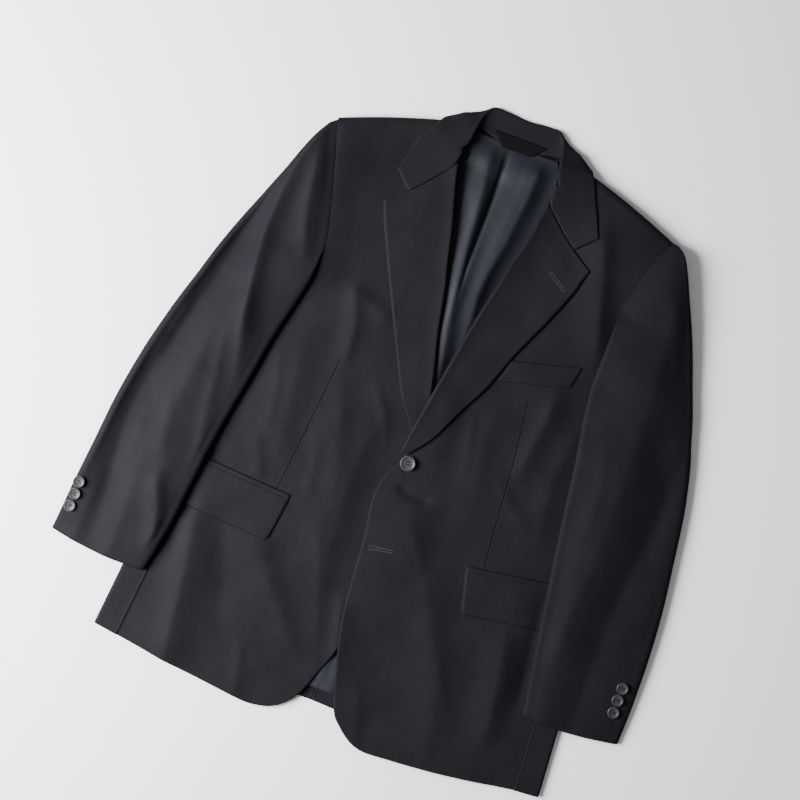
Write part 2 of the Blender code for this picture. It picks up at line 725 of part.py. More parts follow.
def clear_scene():
    for obj in list(bpy.data.objects):
        bpy.data.objects.remove(obj, do_unlink=True)


def collection(name):
    made = bpy.data.collections.new(name)
    bpy.context.scene.collection.children.link(made)
    return made


def material(name, color, roughness):
    made = bpy.data.materials.new(name)
    made.use_nodes = True
    shader = made.node_tree.nodes["Principled BSDF"]
    shader.inputs["Base Color"].default_value = color
    shader.inputs["Roughness"].default_value = roughness
    shader.inputs["Metallic"].default_value = 0.0
    return made


def add_object(name, mesh, color, roughness, parts):
    mesh.shade_smooth()
    mesh.set_sharp_from_angle(angle=math.radians(50))
    mesh.materials.append(material(name, color, roughness))
    obj = bpy.data.objects.new(name, mesh)
    parts.objects.link(obj)
    return obj


def cloth(name, point, cells, wall, facing, parts, color=CLOTH, centred=False):
    """A panel: a grid laid on point(u, v), its outer side facing up or down, made a wall."""
    bm = bmesh.new()
    bmesh.ops.create_grid(bm, x_segments=cells[0], y_segments=cells[1], size=0.5)
    for vert in bm.verts:
        vert.co = Vector(point(vert.co.x + 0.5, vert.co.y + 0.5)) * MM
    bm.normal_update()
    turned_up = sum(face.normal.z * face.calc_area() for face in bm.faces)
    if turned_up * facing < 0:
        bmesh.ops.reverse_faces(bm, faces=bm.faces[:])
    mesh = bpy.data.meshes.new(name)
    bm.to_mesh(mesh)
    bm.free()
    obj = add_object(name, mesh, color, 0.9, parts)
    wall_modifier = obj.modifiers.new("wall", "SOLIDIFY")
    wall_modifier.thickness = wall * MM
    wall_modifier.offset = 0.0 if centred else -1.0
    return obj


def button_mesh(name, size, cutters):
    """A turned disc with a raised rim and four holes."""
    radius, height, rim = size["radius"], size["height"], size["rim"]
    profile = [
        (0.0, height - BUTTON_DISH),
        (radius - rim - BUTTON_DISH_SLOPE, height - BUTTON_DISH),
        (radius - rim, height),
        (radius - BUTTON_EDGE[0], height),
        (radius, height - BUTTON_EDGE[1]),
        (radius - BUTTON_FOOT[1], BUTTON_EDGE[0]),
        (radius - BUTTON_FOOT[0], 0.0),
        (0.0, 0.0),
    ]
    bm = bmesh.new()
    verts = [bm.verts.new((r * MM, 0.0, z * MM)) for r, z in profile]
    edges = [bm.edges.new(pair) for pair in zip(verts, verts[1:])]
    bmesh.ops.spin(bm, geom=verts + edges, cent=(0, 0, 0), axis=(0, 0, 1),
                   angle=2 * math.pi, steps=BUTTON_SIDES, use_merge=True)
    bmesh.ops.remove_doubles(bm, verts=bm.verts[:], dist=0.00001)
    bmesh.ops.recalc_face_normals(bm, faces=bm.faces[:])
    disc_mesh = bpy.data.meshes.new(name)
    bm.to_mesh(disc_mesh)
    bm.free()
    disc = bpy.data.objects.new(name + "_disc", disc_mesh)
    cutters.objects.link(disc)
    for sx in (-1, 1):
        for sy in (-1, 1):
            bm = bmesh.new()
            bmesh.ops.create_cone(bm, cap_ends=True, segments=HOLE_SIDES, radius1=size["hole"] * MM,
                                  radius2=size["hole"] * MM, depth=4 * height * MM)
            pitch = size["pitch"] * MM
            bmesh.ops.translate(bm, verts=bm.verts[:], vec=(sx * pitch, sy * pitch, 0))
            hole_mesh = bpy.data.meshes.new(name + "_hole")
            bm.to_mesh(hole_mesh)
            bm.free()
            hole = bpy.data.objects.new(name + "_hole", hole_mesh)
            hole.hide_render = True
            hole.display_type = "WIRE"
            cutters.objects.link(hole)
            cut = disc.modifiers.new("hole", "BOOLEAN")
            cut.operation = "DIFFERENCE"
            cut.solver = "EXACT"
            cut.object = hole
    bpy.context.view_layer.update()
    graph = bpy.context.evaluated_depsgraph_get()
    made = bpy.data.meshes.new_from_object(disc.evaluated_get(graph))
    bpy.data.objects.remove(disc, do_unlink=True)
    return made


def put_button(name, mesh, size, surface, place, parts):
    """Lay a button on a surface given as a function of x and y."""
    x, y = place
    step = size["radius"]
    centre = surface(x, y)
    slope = Vector((surface(x - step, y) - surface(x + step, y),
                    surface(x, y - step) - surface(x, y + step), 2 * step)).normalized()
    ring = [surface(x + step * math.cos(a), y + step * math.sin(a)) - centre
            + (slope.x * math.cos(a) + slope.y * math.sin(a)) * step / slope.z
            for a in np.linspace(0, 2 * math.pi, 13)]
    lift = max(0.0, max(ring)) + GAP
    obj = add_object(name, mesh.copy(), HORN, 0.35, parts)
    obj.matrix_world = (Matrix.Translation(Vector((x, y, centre + lift)) * MM)
                        @ slope.to_track_quat("Z", "Y").to_matrix().to_4x4())
    return obj


def build_body(parts):
    for side, name in ((RIGHT, "right"), (LEFT, "left")):
        cloth("back_" + name, lambda u, v: back_point(side, u, v), (8, 18), WALL_BACK, -1, parts)
        cloth("side_" + name, lambda u, v: side_point(side, u, v), (11, 15), WALL_BACK, -1, parts)
        cloth("front_" + name, lambda u, v: front_point(side, u, v), (12, 30), WALL_FRONT, 1, parts)
        cloth("lapel_" + name, lambda u, v: lapel_point(side, u, v), (9, 14), WALL_LAPEL, 1,
              parts, centred=True)


def build_collar(parts):
    stations = collar_stations()
    cloth("collar", lambda u, v: collar_point(stations, u, v), (7, 44), WALL_COLLAR, 1,
          parts, centred=True)
    cloth("neck_label", label_point, (4, 1), WALL_LABEL, -1, parts, color=WOVEN)


def build_sleeves(parts):
    across = 2 * (len(FOLD_ANGLES) + 1) + len(SLEEVE_ACROSS) - 1
    for side, name in ((RIGHT, "right"), (LEFT, "left")):
        cloth("sleeve_top_" + name, lambda u, v: sleeve_top_point(side, u, v), (across, SLEEVE_ROWS),
              WALL_SLEEVE, 1, parts)
        cloth("sleeve_under_" + name, lambda u, v: sleeve_under_point(side, u, v),
              (6, UNDER_SLEEVE_ROWS), WALL_SLEEVE, -1, parts)


def build_pockets(parts):
    for side, name in ((RIGHT, "right"), (LEFT, "left")):
        flap = FLAPS[name]
        corner, run = flap["corner"], flap["along"]
        over = (corner[0], corner[1] + JET_GAP)
        cloth("pocket_flap_" + name, patch_point(side, corner, run, flap["down"], FLAP_ROUND),
              (8, 5), WALL_FLAP, -1, parts)
        cloth("pocket_jet_" + name, patch_point(side, over, run, (0.0, JET_HEIGHT)),
              (8, 1), WALL_JET, -1, parts)
    cloth("breast_welt", patch_point(LEFT, WELT["corner"], WELT["along"], WELT["up"]),
          (6, 2), WALL_WELT, -1, parts)


def build_lining(parts):
    cloth("back_lining", lining_point, (8, 22), WALL_LINING, -1, parts, color=SATIN)


def build_buttons(parts, cutters):
    big = button_mesh("button_20", BUTTON_FRONT, cutters)
    put_button("button_front", big, BUTTON_FRONT, lambda x, y: front_top(LEFT, x, y),
               FRONT_BUTTON_AT, parts)
    put_button("button_front_lower", big, BUTTON_FRONT, lambda x, y: front_top(RIGHT, x, y),
               LOWER_BUTTON_AT, parts)
    small = button_mesh("button_15", BUTTON_CUFF, cutters)
    for side, name in ((RIGHT, "right"), (LEFT, "left")):
        for k, place in enumerate(CUFF_BUTTONS[name]):
            put_button(f"button_cuff_{name}_{k + 1}", small, BUTTON_CUFF,
                       lambda x, y: sleeve_height(side, x, y), place, parts)


def sleeve_height(side, x, y):
    """Height of the top of a sleeve at x and y, found along the sleeve."""
    table = SLEEVE_LEFT if side == LEFT else SLEEVE_RIGHT
    low, high = 0.5, 1.0
    for _ in range(30):
        t = (low + high) / 2
        cut = along(table, t)
        f = (x - cut[0]) / (cut[2] - cut[0])
        if mix(cut[1], cut[3], f) > y:
            low = t
        else:
            high = t
    cut = Sleeve(side, (low + high) / 2)
    s = (x - cut.x0) / (cut.x1 - cut.x0) * cut.width
    return cut.top(min(s, cut.width - 2.0))[2]


def main():
    clear_scene()
    parts = collection(NAME)
    cutters = collection("cutters")
    build_body(parts)
    build_lining(parts)
    build_collar(parts)
    build_sleeves(parts)
    build_pockets(parts)
    build_buttons(parts, cutters)


main()
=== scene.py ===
import math

import bmesh
import bpy
import numpy as np
from mathutils import Matrix, Vector


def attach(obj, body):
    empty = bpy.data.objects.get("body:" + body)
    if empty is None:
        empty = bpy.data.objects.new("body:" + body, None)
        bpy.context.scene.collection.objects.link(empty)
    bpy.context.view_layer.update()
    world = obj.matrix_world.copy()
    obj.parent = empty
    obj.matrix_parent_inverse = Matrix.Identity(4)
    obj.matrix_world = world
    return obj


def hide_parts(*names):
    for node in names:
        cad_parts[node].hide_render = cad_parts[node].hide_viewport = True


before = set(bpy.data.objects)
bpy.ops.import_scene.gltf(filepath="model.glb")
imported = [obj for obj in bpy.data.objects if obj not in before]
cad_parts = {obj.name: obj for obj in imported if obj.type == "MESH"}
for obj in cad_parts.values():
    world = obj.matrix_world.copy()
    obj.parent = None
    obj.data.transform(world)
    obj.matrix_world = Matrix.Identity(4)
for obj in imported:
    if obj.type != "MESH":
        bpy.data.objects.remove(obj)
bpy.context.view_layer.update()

mm = 0.001  # sizes and places are in mm, and the outlines are the ones of the part's source
rightSide, leftSide = -1.0, 1.0  # the wearer's; the left is +X
sideNames = {rightSide: "right", leftSide: "left"}

wall = dict(front=1.6, lapel=1.5, collar=1.4, back=1.3, sleeve=1.3, lining=0.6, flap=1.7,
            jet=1.6, welt=1.1, label=0.7)


def smooth(t):
    t = np.clip(t, 0.0, 1.0)
    return t * t * (3.0 - 2.0 * t)


def mix(a, b, t):
    return a + (b - a) * t


def along(table, t):  # a row at t from 0 to 1, on a smooth curve through all rows
    last = len(table) - 1
    place = np.clip(t, 0.0, 1.0) * last
    i = np.minimum(place.astype(int), last - 1)
    f = (place - i)[:, None]
    p1, p2 = table[i], table[i + 1]
    p0 = np.where((i > 0)[:, None], table[np.maximum(i - 1, 0)], 2 * p1 - p2)
    p3 = np.where((i + 2 <= last)[:, None], table[np.minimum(i + 2, last)], 2 * p2 - p1)
    return 0.5 * (2 * p1 + (p2 - p0) * f + (2 * p0 - 5 * p1 + 4 * p2 - p3) * f * f
                  + (3 * p1 - p0 - 3 * p2 + p3) * f ** 3)


def quarterRound(t):  # rises steeply from 0, flat when it gets to 1
    return np.sqrt(np.maximum(1.0 - (1.0 - np.clip(t, 0.0, 1.0)) ** 2, 0.0))


# the form of a crease: the share of its length over which it fades, how round its top is, how much
# of it is sharp, and the points that are drawn for each given one
crease = dict(fade=0.3, top=2.5, sharp=0.55, drawn=5)


def foldHeight(folds, x, y):  # soft ridges and troughs, each fading out at its two ends
    total = np.zeros_like(x)
    for height, softLeft, softRight, points in folds:
        shares = np.linspace(0.0, 1.0, crease["drawn"] * len(points))
        course = along(np.array(points, float), shares)
        length = np.hypot(*np.diff(course, axis=0).T).sum()
        nearest = np.full(x.shape, 1e9)
        onLeft = np.zeros(x.shape, bool)
        run = np.zeros_like(x)
        start = 0.0
        for (ax, ay), (bx, by) in zip(course, course[1:]):
            step = math.hypot(bx - ax, by - ay)
            ux, uy = (bx - ax) / step, (by - ay) / step
            s = np.clip((x - ax) * ux + (y - ay) * uy, 0.0, step)
            away = np.hypot(x - ax - s * ux, y - ay - s * uy)
            closer = away < nearest
            nearest = np.where(closer, away, nearest)
            onLeft = np.where(closer, (x - ax) * uy - (y - ay) * ux > 0.0, onLeft)
            run = np.where(closer, start + s, run)
            start += step
        soft = np.where(onLeft, softLeft, softRight)
        fade = crease["fade"] * length
        ends = smooth(run / fade) * smooth((length - run) / fade)
        beyond = np.hypot(nearest, crease["top"]) - crease["top"]
        form = mix(np.exp(-(nearest / soft) ** 2), np.exp(-beyond / soft), crease["sharp"])
        total += height * form * ends
    return total


# slow swells that keep the cloth from lying dead flat
swells = dict(count=7, turn=2.4, length=150.0, shorter=0.45, shift=1.7, weaker=0.5)


def uneven(x, y, seed):
    total = 0.0
    for k in range(swells["count"]):
        turn = seed + swells["turn"] * k
        wave = swells["length"] / (1.0 + swells["shorter"] * k)
        total = total + np.sin((x * math.cos(turn) + y * math.sin(turn)) / wave * 2 * math.pi
                               + swells["shift"] * k + seed) / (1.0 + swells["weaker"] * k)
    return total


# y, side fold of the right and of the left, height at the sides, height in the middle
bodyTable = np.array([
    (-425, 299, 319, 6.5, 7.0),
    (-385, 297, 318, 6.5, 7.2),
    (-303, 289, 312, 7.0, 8.2),
    (-200, 280, 298, 7.8, 9.6),
    (-100, 271, 285, 8.4, 10.6),
    (0, 268, 277, 9.0, 11.6),
    (104, 274, 276, 10.0, 13.0),
    (220, 276, 278, 11.5, 15.0),
    (420, 276, 278, 13.0, 16.0),
])

body = dict(
    sideRoll=90.0, seamOnTop=33.0, seamUnder=62.0, armholeLow=104.0, seamGap=0.25,
    neckPoint=(74.0, 386.0), shoulderPoint=(229.0, 333.5), shoulderBow=3.0,
    shoulderEdge=11.0, shoulderSeam=0.3, padHeight=8.0, padPlace=(212.0, 292.0),
    padReach=55.0, neckDip=4.0, neckDipReach=45.0, unevenness=0.35, creaseDepth=1.35,
    creasesFrom=30.0, shoulderTilt=0.947,
)

# creases: height, softness on the left and on the right of the ridge, its points from the top down
bodyFolds = [
    (6.6, 30, 27, [(-228, 342), (-216, 300), (-203, 245), (-194, 205), (-188, 165), (-187, 130),
                   (-190, 70)]),
    (6.4, 20, 30, [(-226, -160), (-217, -240), (-209, -290), (-203, -340), (-190, -440)]),
    (-1.8, 20, 16, [(-200, -190), (-176, -236), (-154, -300), (-140, -360)]),
    (3.4, 27, 18, [(-170, -176), (-138, -212), (-98, -262), (-30, -350)]),
    (2.6, 26, 14, [(-84, -130), (-60, -190), (-40, -250), (-10, -340)]),
    (3.0, 30, 18, [(-30, 30), (-50, -40), (-52, -110), (-46, -180), (-30, -260)]),
    (2.8, 14, 10, [(-140, 150), (-120, 104), (-113, 68), (-114, 20)]),
    (2.6, 14, 12, [(-150, 136), (-106, 124), (-64, 104)]),
    (2.4, 22, 18, [(-172, 80), (-162, -10), (-146, -130)]),
    (2.4, 24, 16, [(-108, 30), (-82, -60), (-58, -150)]),
    (6.0, 26, 17, [(128, 345), (150, 285), (163, 243), (175, 202), (187, 160), (193, 120)]),
    (3.8, 13, 18, [(158, 118), (157, 62), (152, 20), (146, -44)]),
    (-3.0, 6, 6, [(2, -84), (30, -88), (62, -90)]),
    (4.6, 32, 28, [(8, -66), (44, -128), (82, -184), (112, -240), (140, -290), (184, -360)]),
    (3.4, 9, 18, [(-12, -226), (2, -284), (14, -326), (30, -372)]),
    (4.6, 24, 20, [(198, -190), (213, -250), (222, -310), (228, -380)]),
    (-2.4, 12, 12, [(232, -110), (241, -190), (248, -250), (252, -330)]),
    (2.4, 22, 20, [(130, -262), (150, -325), (166, -430)]),
    (2.4, 18, 16, [(204, 80), (192, -10), (206, -110)]),
    (2.2, 22, 18, [(100, 80), (92, 10), (112, -80)]),
    (1.1, 10, 8, [(-196, 40), (-182, -20), (-172, -90)]),
    (1.2, 10, 7, [(-196, -70), (-172, -110), (-158, -150)]),
    (1.3, 9, 8, [(-78, 40), (-46, 6), (-20, -50)]),
    (1.0, 9, 8, [(-120, -40), (-104, -86), (-96, -150)]),
    (1.2, 11, 9, [(112, -10), (150, -54), (196, -84)]),
    (1.0, 10, 9, [(56, 50), (76, -4), (84, -64)]),
    (1.2, 12, 9, [(40, -330), (60, -370), (74, -430)]),
    (1.1, 10, 9, [(-120, -330), (-104, -370), (-92, -430)]),
]


def bodyRow(y):
    return [np.interp(y, bodyTable[:, 0], bodyTable[:, k]) for k in range(1, 5)]


def sideFold(side, y):
    return bodyRow(y)[1 if side == leftSide else 0]


def inside(x, y):  # distance inside the side fold of the body
    rightFold, leftFold = bodyRow(y)[:2]
    return np.where(x > 0, leftFold, rightFold) - np.abs(x)


def shoulderLine(x):
    (nx, ny), (sx, sy) = body["neckPoint"], body["shoulderPoint"]
    t = (np.abs(x) - nx) / (sx - nx)
    return mix(ny, sy, t) + body["shoulderBow"] * np.sin(math.pi * np.clip(t, 0.0, 1.0))


def belowShoulder(x, y):  # 0 on the shoulder seam, 1 where its rounding ends
    return (shoulderLine(x) - y) * body["shoulderTilt"] / body["shoulderEdge"]


def bodyTop(x, y):
    side, middle = bodyRow(y)[2:]
    pastSeam = inside(x, y) - body["seamOnTop"]
    z = mix(side, middle, smooth(pastSeam / body["sideRoll"]))
    for height, centre, reach in ((body["padHeight"], body["padPlace"], body["padReach"]),
                                  (-body["neckDip"], body["neckPoint"], body["neckDipReach"])):
        away = np.hypot(np.abs(x) - centre[0], y - centre[1])
        z = z + height * np.exp(-(away / reach) ** 2)
    creases = body["creaseDepth"] * foldHeight(bodyFolds, x, y)
    creases = creases + body["unevenness"] * uneven(x, y, 0.7)
    z = z + creases * smooth(pastSeam / body["creasesFrom"])
    depth = belowShoulder(x, y)
    low = z * 0.5 + body["shoulderSeam"]
    return mix(low, z, quarterRound(depth))


lapOver = dict(rise=2.65, full=34.0, end=90.0, lapelRise=2.6, lapelPlace=(6.0, 6.0),
               lapelReach=(58.0, 66.0), lapelFade=(0.55, 0.5))
frontButton = dict(radius=10.0, height=3.6, rim=1.6, hole=1.05, pitch=1.9, at=(10.0, -51.5))
lowerButton = dict(frontButton, at=(8.0, -166.0), reach=62.0, over=0.7, margin=5.0)


def lapHeight(x, y):  # the left front stands off the right one, its lapel and the lower button
    width = lapOver["end"] - lapOver["full"]
    over = lapOver["rise"] * (1.0 - smooth((x - lapOver["full"]) / width))
    dx = (x - lapOver["lapelPlace"][0]) / lapOver["lapelReach"][0]
    dy = (y - lapOver["lapelPlace"][1]) / lapOver["lapelReach"][1]
    start, fade = lapOver["lapelFade"]
    over = over + lapOver["lapelRise"] * (1.0 - smooth((np.hypot(dx, dy) - start) / fade))
    bx, by = lowerButton["at"]
    free = np.hypot(x - bx, y - by) - lowerButton["radius"] - lowerButton["margin"]
    rise = lowerButton["height"] + lowerButton["over"]
    return over + rise * (1.0 - smooth(free / lowerButton["reach"]))


def frontTop(side, x, y):
    return bodyTop(x, y) + (lapHeight(x, y) if side == leftSide else 0.0)


def frontAt(side, x, y):  # height of a front at one place
    return float(frontTop(side, np.array([float(x)]), np.array([float(y)]))[0])


# a cloth panel is a grid that a function of u across and v along puts in its place, in mm
nearEdges = dict(bunch=0.85, cells=2.2)
paintedRollShade = dict(edge=0.5, rise=0.4)  # painted shade: the cloth's colour is darkened beside a roll, standing for the shade there


def bunched(u, cells):  # grid lines drawn closer together near both edges
    bunch, reach = nearEdges["bunch"], nearEdges["cells"] / cells
    near = np.exp(-u / reach) - np.exp(-(1.0 - u) / reach)
    made = u + bunch * reach * near
    first = bunch * reach * (1.0 - math.exp(-1.0 / reach))
    return (made - first) / (1.0 - 2.0 * first)


def meshFrom(bm, name, isSmooth=True):
    mesh = bpy.data.meshes.new(name)
    bm.to_mesh(mesh)
    bm.free()
    if isSmooth:
        mesh.shade_smooth()
    return mesh


def addObject(name, mesh, finish=None):
    obj = bpy.data.objects.new(name, mesh)
    bpy.context.scene.collection.objects.link(obj)
    if finish:
        mesh.materials.append(materials[finish])
    return obj


# facing is 1 where the points lie on the upper side of the cloth, -1 where they lie on its lower
# side; rounds say from how far in the edges bend (u = 0, u = 1, v = 0, v = 1), drop how many walls
# they fall, and the roll settings over which columns the painted shade beside a roll fades out
def panel(name, point, cells, thickness, facing=1, rounds=(1.6, 1.6, 1.6, 1.6), drop=0.7,
          material="wool", centred=False, closer=True, rolled=None):
    bm = bmesh.new()
    bmesh.ops.create_grid(bm, x_segments=cells[0], y_segments=cells[1], size=0.5)
    flat = np.array([vert.co[:2] for vert in bm.verts]) + 0.5
    column = np.rint(flat[:, 0] * cells[0]).astype(int)
    row = np.rint(flat[:, 1] * cells[1]).astype(int)
    u, v = flat.T
    if closer:
        u, v = bunched(u, cells[0]), bunched(v, cells[1])
    x, y, z = point(u, v)
    net = np.zeros((cells[1] + 1, cells[0] + 1, 3))
    net[row, column] = np.column_stack([x, y, z])
    across = np.zeros(net.shape[:2])
    across[:, 1:] = np.cumsum(np.linalg.norm(np.diff(net, axis=1), axis=2), axis=1)
    upward = np.zeros(net.shape[:2])
    upward[1:] = np.cumsum(np.linalg.norm(np.diff(net, axis=0), axis=2), axis=0)
    away = (across, across[:, -1:] - across, upward, upward[-1:] - upward)
    fall = np.zeros(net.shape[:2])
    for distance, radius in zip(away, rounds):
        if radius > 0.0:
            bent = 1.0 - np.clip(distance / radius, 0.0, 1.0)
            fall = np.maximum(fall, 1.0 - np.sqrt(1.0 - bent ** 2))
    net[:, :, 2] -= facing * drop * thickness * fall
    lowest = thickness / 2 if centred else max(facing, 0) * thickness
    net[:, :, 2] = np.maximum(net[:, :, 2], lowest)
    for vert, i, j in zip(bm.verts, row, column):
        vert.co = net[i, j] * mm
    bm.normal_update()
    upwards = sum(face.normal.z * face.calc_area() for face in bm.faces)
    if upwards * facing < 0:
        bmesh.ops.reverse_faces(bm, faces=bm.faces[:])
    layer, paintedShadeLayer = bm.loops.layers.uv.new("cloth"), bm.loops.layers.uv.new("slope")
    for face in bm.faces:
        for loop in face.loops:
            k = loop.vert.index
            loop[layer].uv = (across[row[k], column[k]] * mm, upward[row[k], column[k]] * mm)
            # painted shade: how level the cloth lies, lowered beside a roll; the wool paints darker
            # colour where this is low
            paintedShade = abs(loop.vert.normal.z)
            if rolled:
                near = column[k] if rolled["leftOnly"] else min(column[k], cells[0] - column[k])
                past = smooth((near - rolled["start"]) / rolled["width"])
                paintedShade = min(paintedShade, paintedRollShade["edge"] + paintedRollShade["rise"] * past)
            loop[paintedShadeLayer].uv = (paintedShade, 0.0)
    obj = addObject(name, meshFrom(bm, name), material)
    shell = obj.modifiers.new("wall", "SOLIDIFY")
    shell.thickness = thickness * mm
    shell.offset = 0.0 if centred else -1.0
    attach(obj, "root")
    return obj


# x and y at the front edge, x and y at the armhole, bow of the row
frontTable = {
    leftSide: np.array([
        (104, -420.0, 288, -398.5, -3),
        (84, -420.5, 287, -392, -2),
        (66, -415, 286, -383, -1),
        (47, -401, 284, -369, 0),
        (31, -381, 282, -350, 0),
        (13, -322, 276, -303, 0),
        (0, -265, 268, -250, 0),
        (-6, -210, 260, -200, 0),
        (-10, -160, 253, -150, 0),
        (-17, -112, 248, -100, 0),
        (-13, -78, 244, -60, 0),
        (0, -50, 242, -25, 0),
        (3.5, -12, 241, 15, 0),
        (11, 38, 240, 60, 0),
        (20, 92, 240, 103, 0),
        (26, 128, 222, 111, 0),
        (33, 163, 207, 136, 0),
        (42, 208, 200, 185, 0),
        (52, 248, 197, 226, 0),
        (60, 284, 203, 262, 0),
        (65, 318, 213, 300, 0),
        (72, 350, 222, 320, 1),
        (73, 374, 227, 329, 2),
        (74, 386, 229, 333.5, 3),
    ]),
    rightSide: np.array([
        (-96, -411.5, -264, -390, -1),
        (-74, -413, -263, -384, 0),
        (-49, -408, -262, -376, 0),
        (-31, -396, -260, -365, 0),
        (-17, -378, -258, -349, 0),
        (-6, -350, -256, -325, 0),
        (7, -313, -254, -295, 0),
        (17, -265, -251, -250, 0),
        (22, -210, -246, -200, 0),
        (24, -150, -240, -150, 0),
        (24, -100, -237, -100, 0),
        (21, -50, -234, -50, 0),
        (13, -5, -233, 0, 0),
        (4, 40, -235, 50, 0),
        (-9, 92, -238, 103, 0),
        (-18, 128, -215, 109, 0),
        (-26, 165, -196, 122, 0),
        (-34, 200, -187, 150, 0),
        (-42, 235, -191, 190, 0),
        (-51, 270, -203, 240, 0),
        (-60, 302, -214, 280, 0),
        (-68, 330, -221, 305, 0),
        (-73, 358, -225, 320, 1),
        (-74, 376, -228, 329, 2),
        (-74, 386, -229, 333.5, 3),
    ]),
}


def frontPanel(side):  # from the front edge to the armhole and the side seam
    def point(u, v):
        x0, y0, x1, y1, bow = along(frontTable[side], v).T
        seam = side * (sideFold(side, y1) - body["seamOnTop"] - body["seamGap"])
        x1 = np.where(y1 < body["armholeLow"], seam, x1)
        x, y = mix(x0, x1, u), mix(y0, y1, u) + bow * np.sin(math.pi * u)
        return x, y, frontTop(side, x, y)
    return point


hemBackTable = np.array([(-297, -385), (0, -382), (318, -396)])


def hemBack(x):
    return np.interp(x, hemBackTable[:, 0], hemBackTable[:, 1])


def sidePanel(side):  # under the body, round its fold and on to the front
    hemSeam = frontTable[side][0][3]

    def point(u, v):
        y = mix(hemSeam, body["armholeLow"], v)
        radius = bodyRow(y)[2] / 2.0
        flatUnder, turn = body["seamUnder"] - radius, math.pi * radius
        run = u * (flatUnder + turn + body["seamOnTop"] - radius)
        angle = np.clip((run - flatUnder) / radius, 0.0, math.pi) - math.pi / 2
        z = radius * (1.0 + np.sin(angle))
        inset = np.where(run < flatUnder, body["seamUnder"] - run, radius * (1.0 - np.cos(angle)))
        inset = np.where(run > flatUnder + turn, radius + run - flatUnder - turn, inset)
        x = side * (sideFold(side, y) - inset)
        folded = mix(hemBack(side * sideFold(side, y)), hemSeam, inset / body["seamOnTop"])
        hem = np.where(run > flatUnder + turn / 2, folded, hemBack(x))
        return x, mix(hem, body["armholeLow"], v), z
    return point


back = dict(lift=2.3, fallEdge=(352.0, 31.0, 99.0), napeY=379.0, rowsUp=1.3,
            fallRamp=(26.0, 20.0), sideRamp=(4.0, 18.0), neckFade=12.0, shoulderFrom=1.1)
armholeBackTable = np.array([
    (104, 210.5, 212.5),
    (122, 203, 213),
    (150, 193, 206),
    (190, 192, 199),
    (226, 199, 196),
    (262, 209, 202),
    (300, 220, 213),
    (333.5, 229, 229),
])


def underBack(x, y):  # the back rises over the fall of the collar
    start, rise, reach = back["fallEdge"]
    edge = start + rise * (x / reach) ** 2
    before, ramp = back["fallRamp"]
    lift = back["lift"] * smooth((y - edge + before) / ramp)
    beside, ramp = back["sideRamp"]
    return lift * (1.0 - smooth((np.abs(x) - reach - beside) / ramp))


def backPanel(side):  # from the centre back seam outwards
    neckX, neckY = body["neckPoint"]

    def point(u, v):
        v = 1.0 - (1.0 - v) ** back["rowsUp"]
        yOut = mix(hemBack(side * sideFold(side, -385.0)), body["shoulderPoint"][1], v)
        armhole = np.interp(yOut, armholeBackTable[:, 0], armholeBackTable[:, 2 if side > 0 else 1])
        seam = sideFold(side, yOut) - body["seamUnder"] - body["seamGap"]
        x = side * mix(0.15, np.where(yOut < body["armholeLow"], seam, armhole), u)
        neck = mix(back["napeY"], neckY, (x / neckX) ** 2)
        y = mix(hemBack(x), np.where(np.abs(x) > neckX, shoulderLine(x), neck), v)
        seamY = shoulderLine(x) - body["shoulderEdge"] * back["shoulderFrom"]
        high = bodyTop(x, seamY) * 0.5 - body["shoulderSeam"]
        rounded = 1.0 - quarterRound(belowShoulder(x, y))
        fade = back["neckFade"]
        beside = smooth((np.abs(x) - neckX + fade) / fade)
        return x, y, mix(underBack(x, y), high, rounded * beside)
    return point


# x and y on the roll line, x and y on the outer edge, roll radius, bow of the row
lapelTable = {
    leftSide: np.array([
        (61, 325, 142, 259, 2.4, -4.6),
        (57, 300, 137, 243, 2.4, -3),
        (55, 279, 131, 222, 2.4, 0),
        (44, 234, 113, 177, 2.5, 0),
        (37, 199, 100, 148, 2.6, 0),
        (29, 163, 87, 118, 2.7, 0),
        (19, 108, 71, 74, 2.8, 0),
        (7, 37, 50, 34, 2.8, 0),
        (0, -8, 30, -8, 2.6, 0),
        (-3, -30, 14, -30, 2.3, 0),
        (-3.5, -40.5, 5, -40.5, 2.0, 0),
    ]),
    rightSide: np.array([
        (-64, 331, -137, 253, 2.4, -6),
        (-58, 306, -129, 232, 2.4, -4),
        (-50, 278, -120, 212, 2.4, -1),
        (-42, 250, -107, 185, 2.5, 0),
        (-32, 208, -92, 154, 2.6, 0),
        (-23, 174, -78, 126, 2.7, 0),
        (-12, 120, -60, 90, 2.7, 0),
        (0, 73, -42, 54, 2.4, 0),
        (8, 36, -26, 24, 1.7, 0),
        (14, 4, -4, -6, 1.3, 0),
        (19, -24, 10, -28, 1.3, 0),
    ]),
}
lapel = dict(lift=0.6, turn=0.3, fall=13.0, belly=1.2, bellyRise=1.6, bellyEnds=(6.0, 4.0))


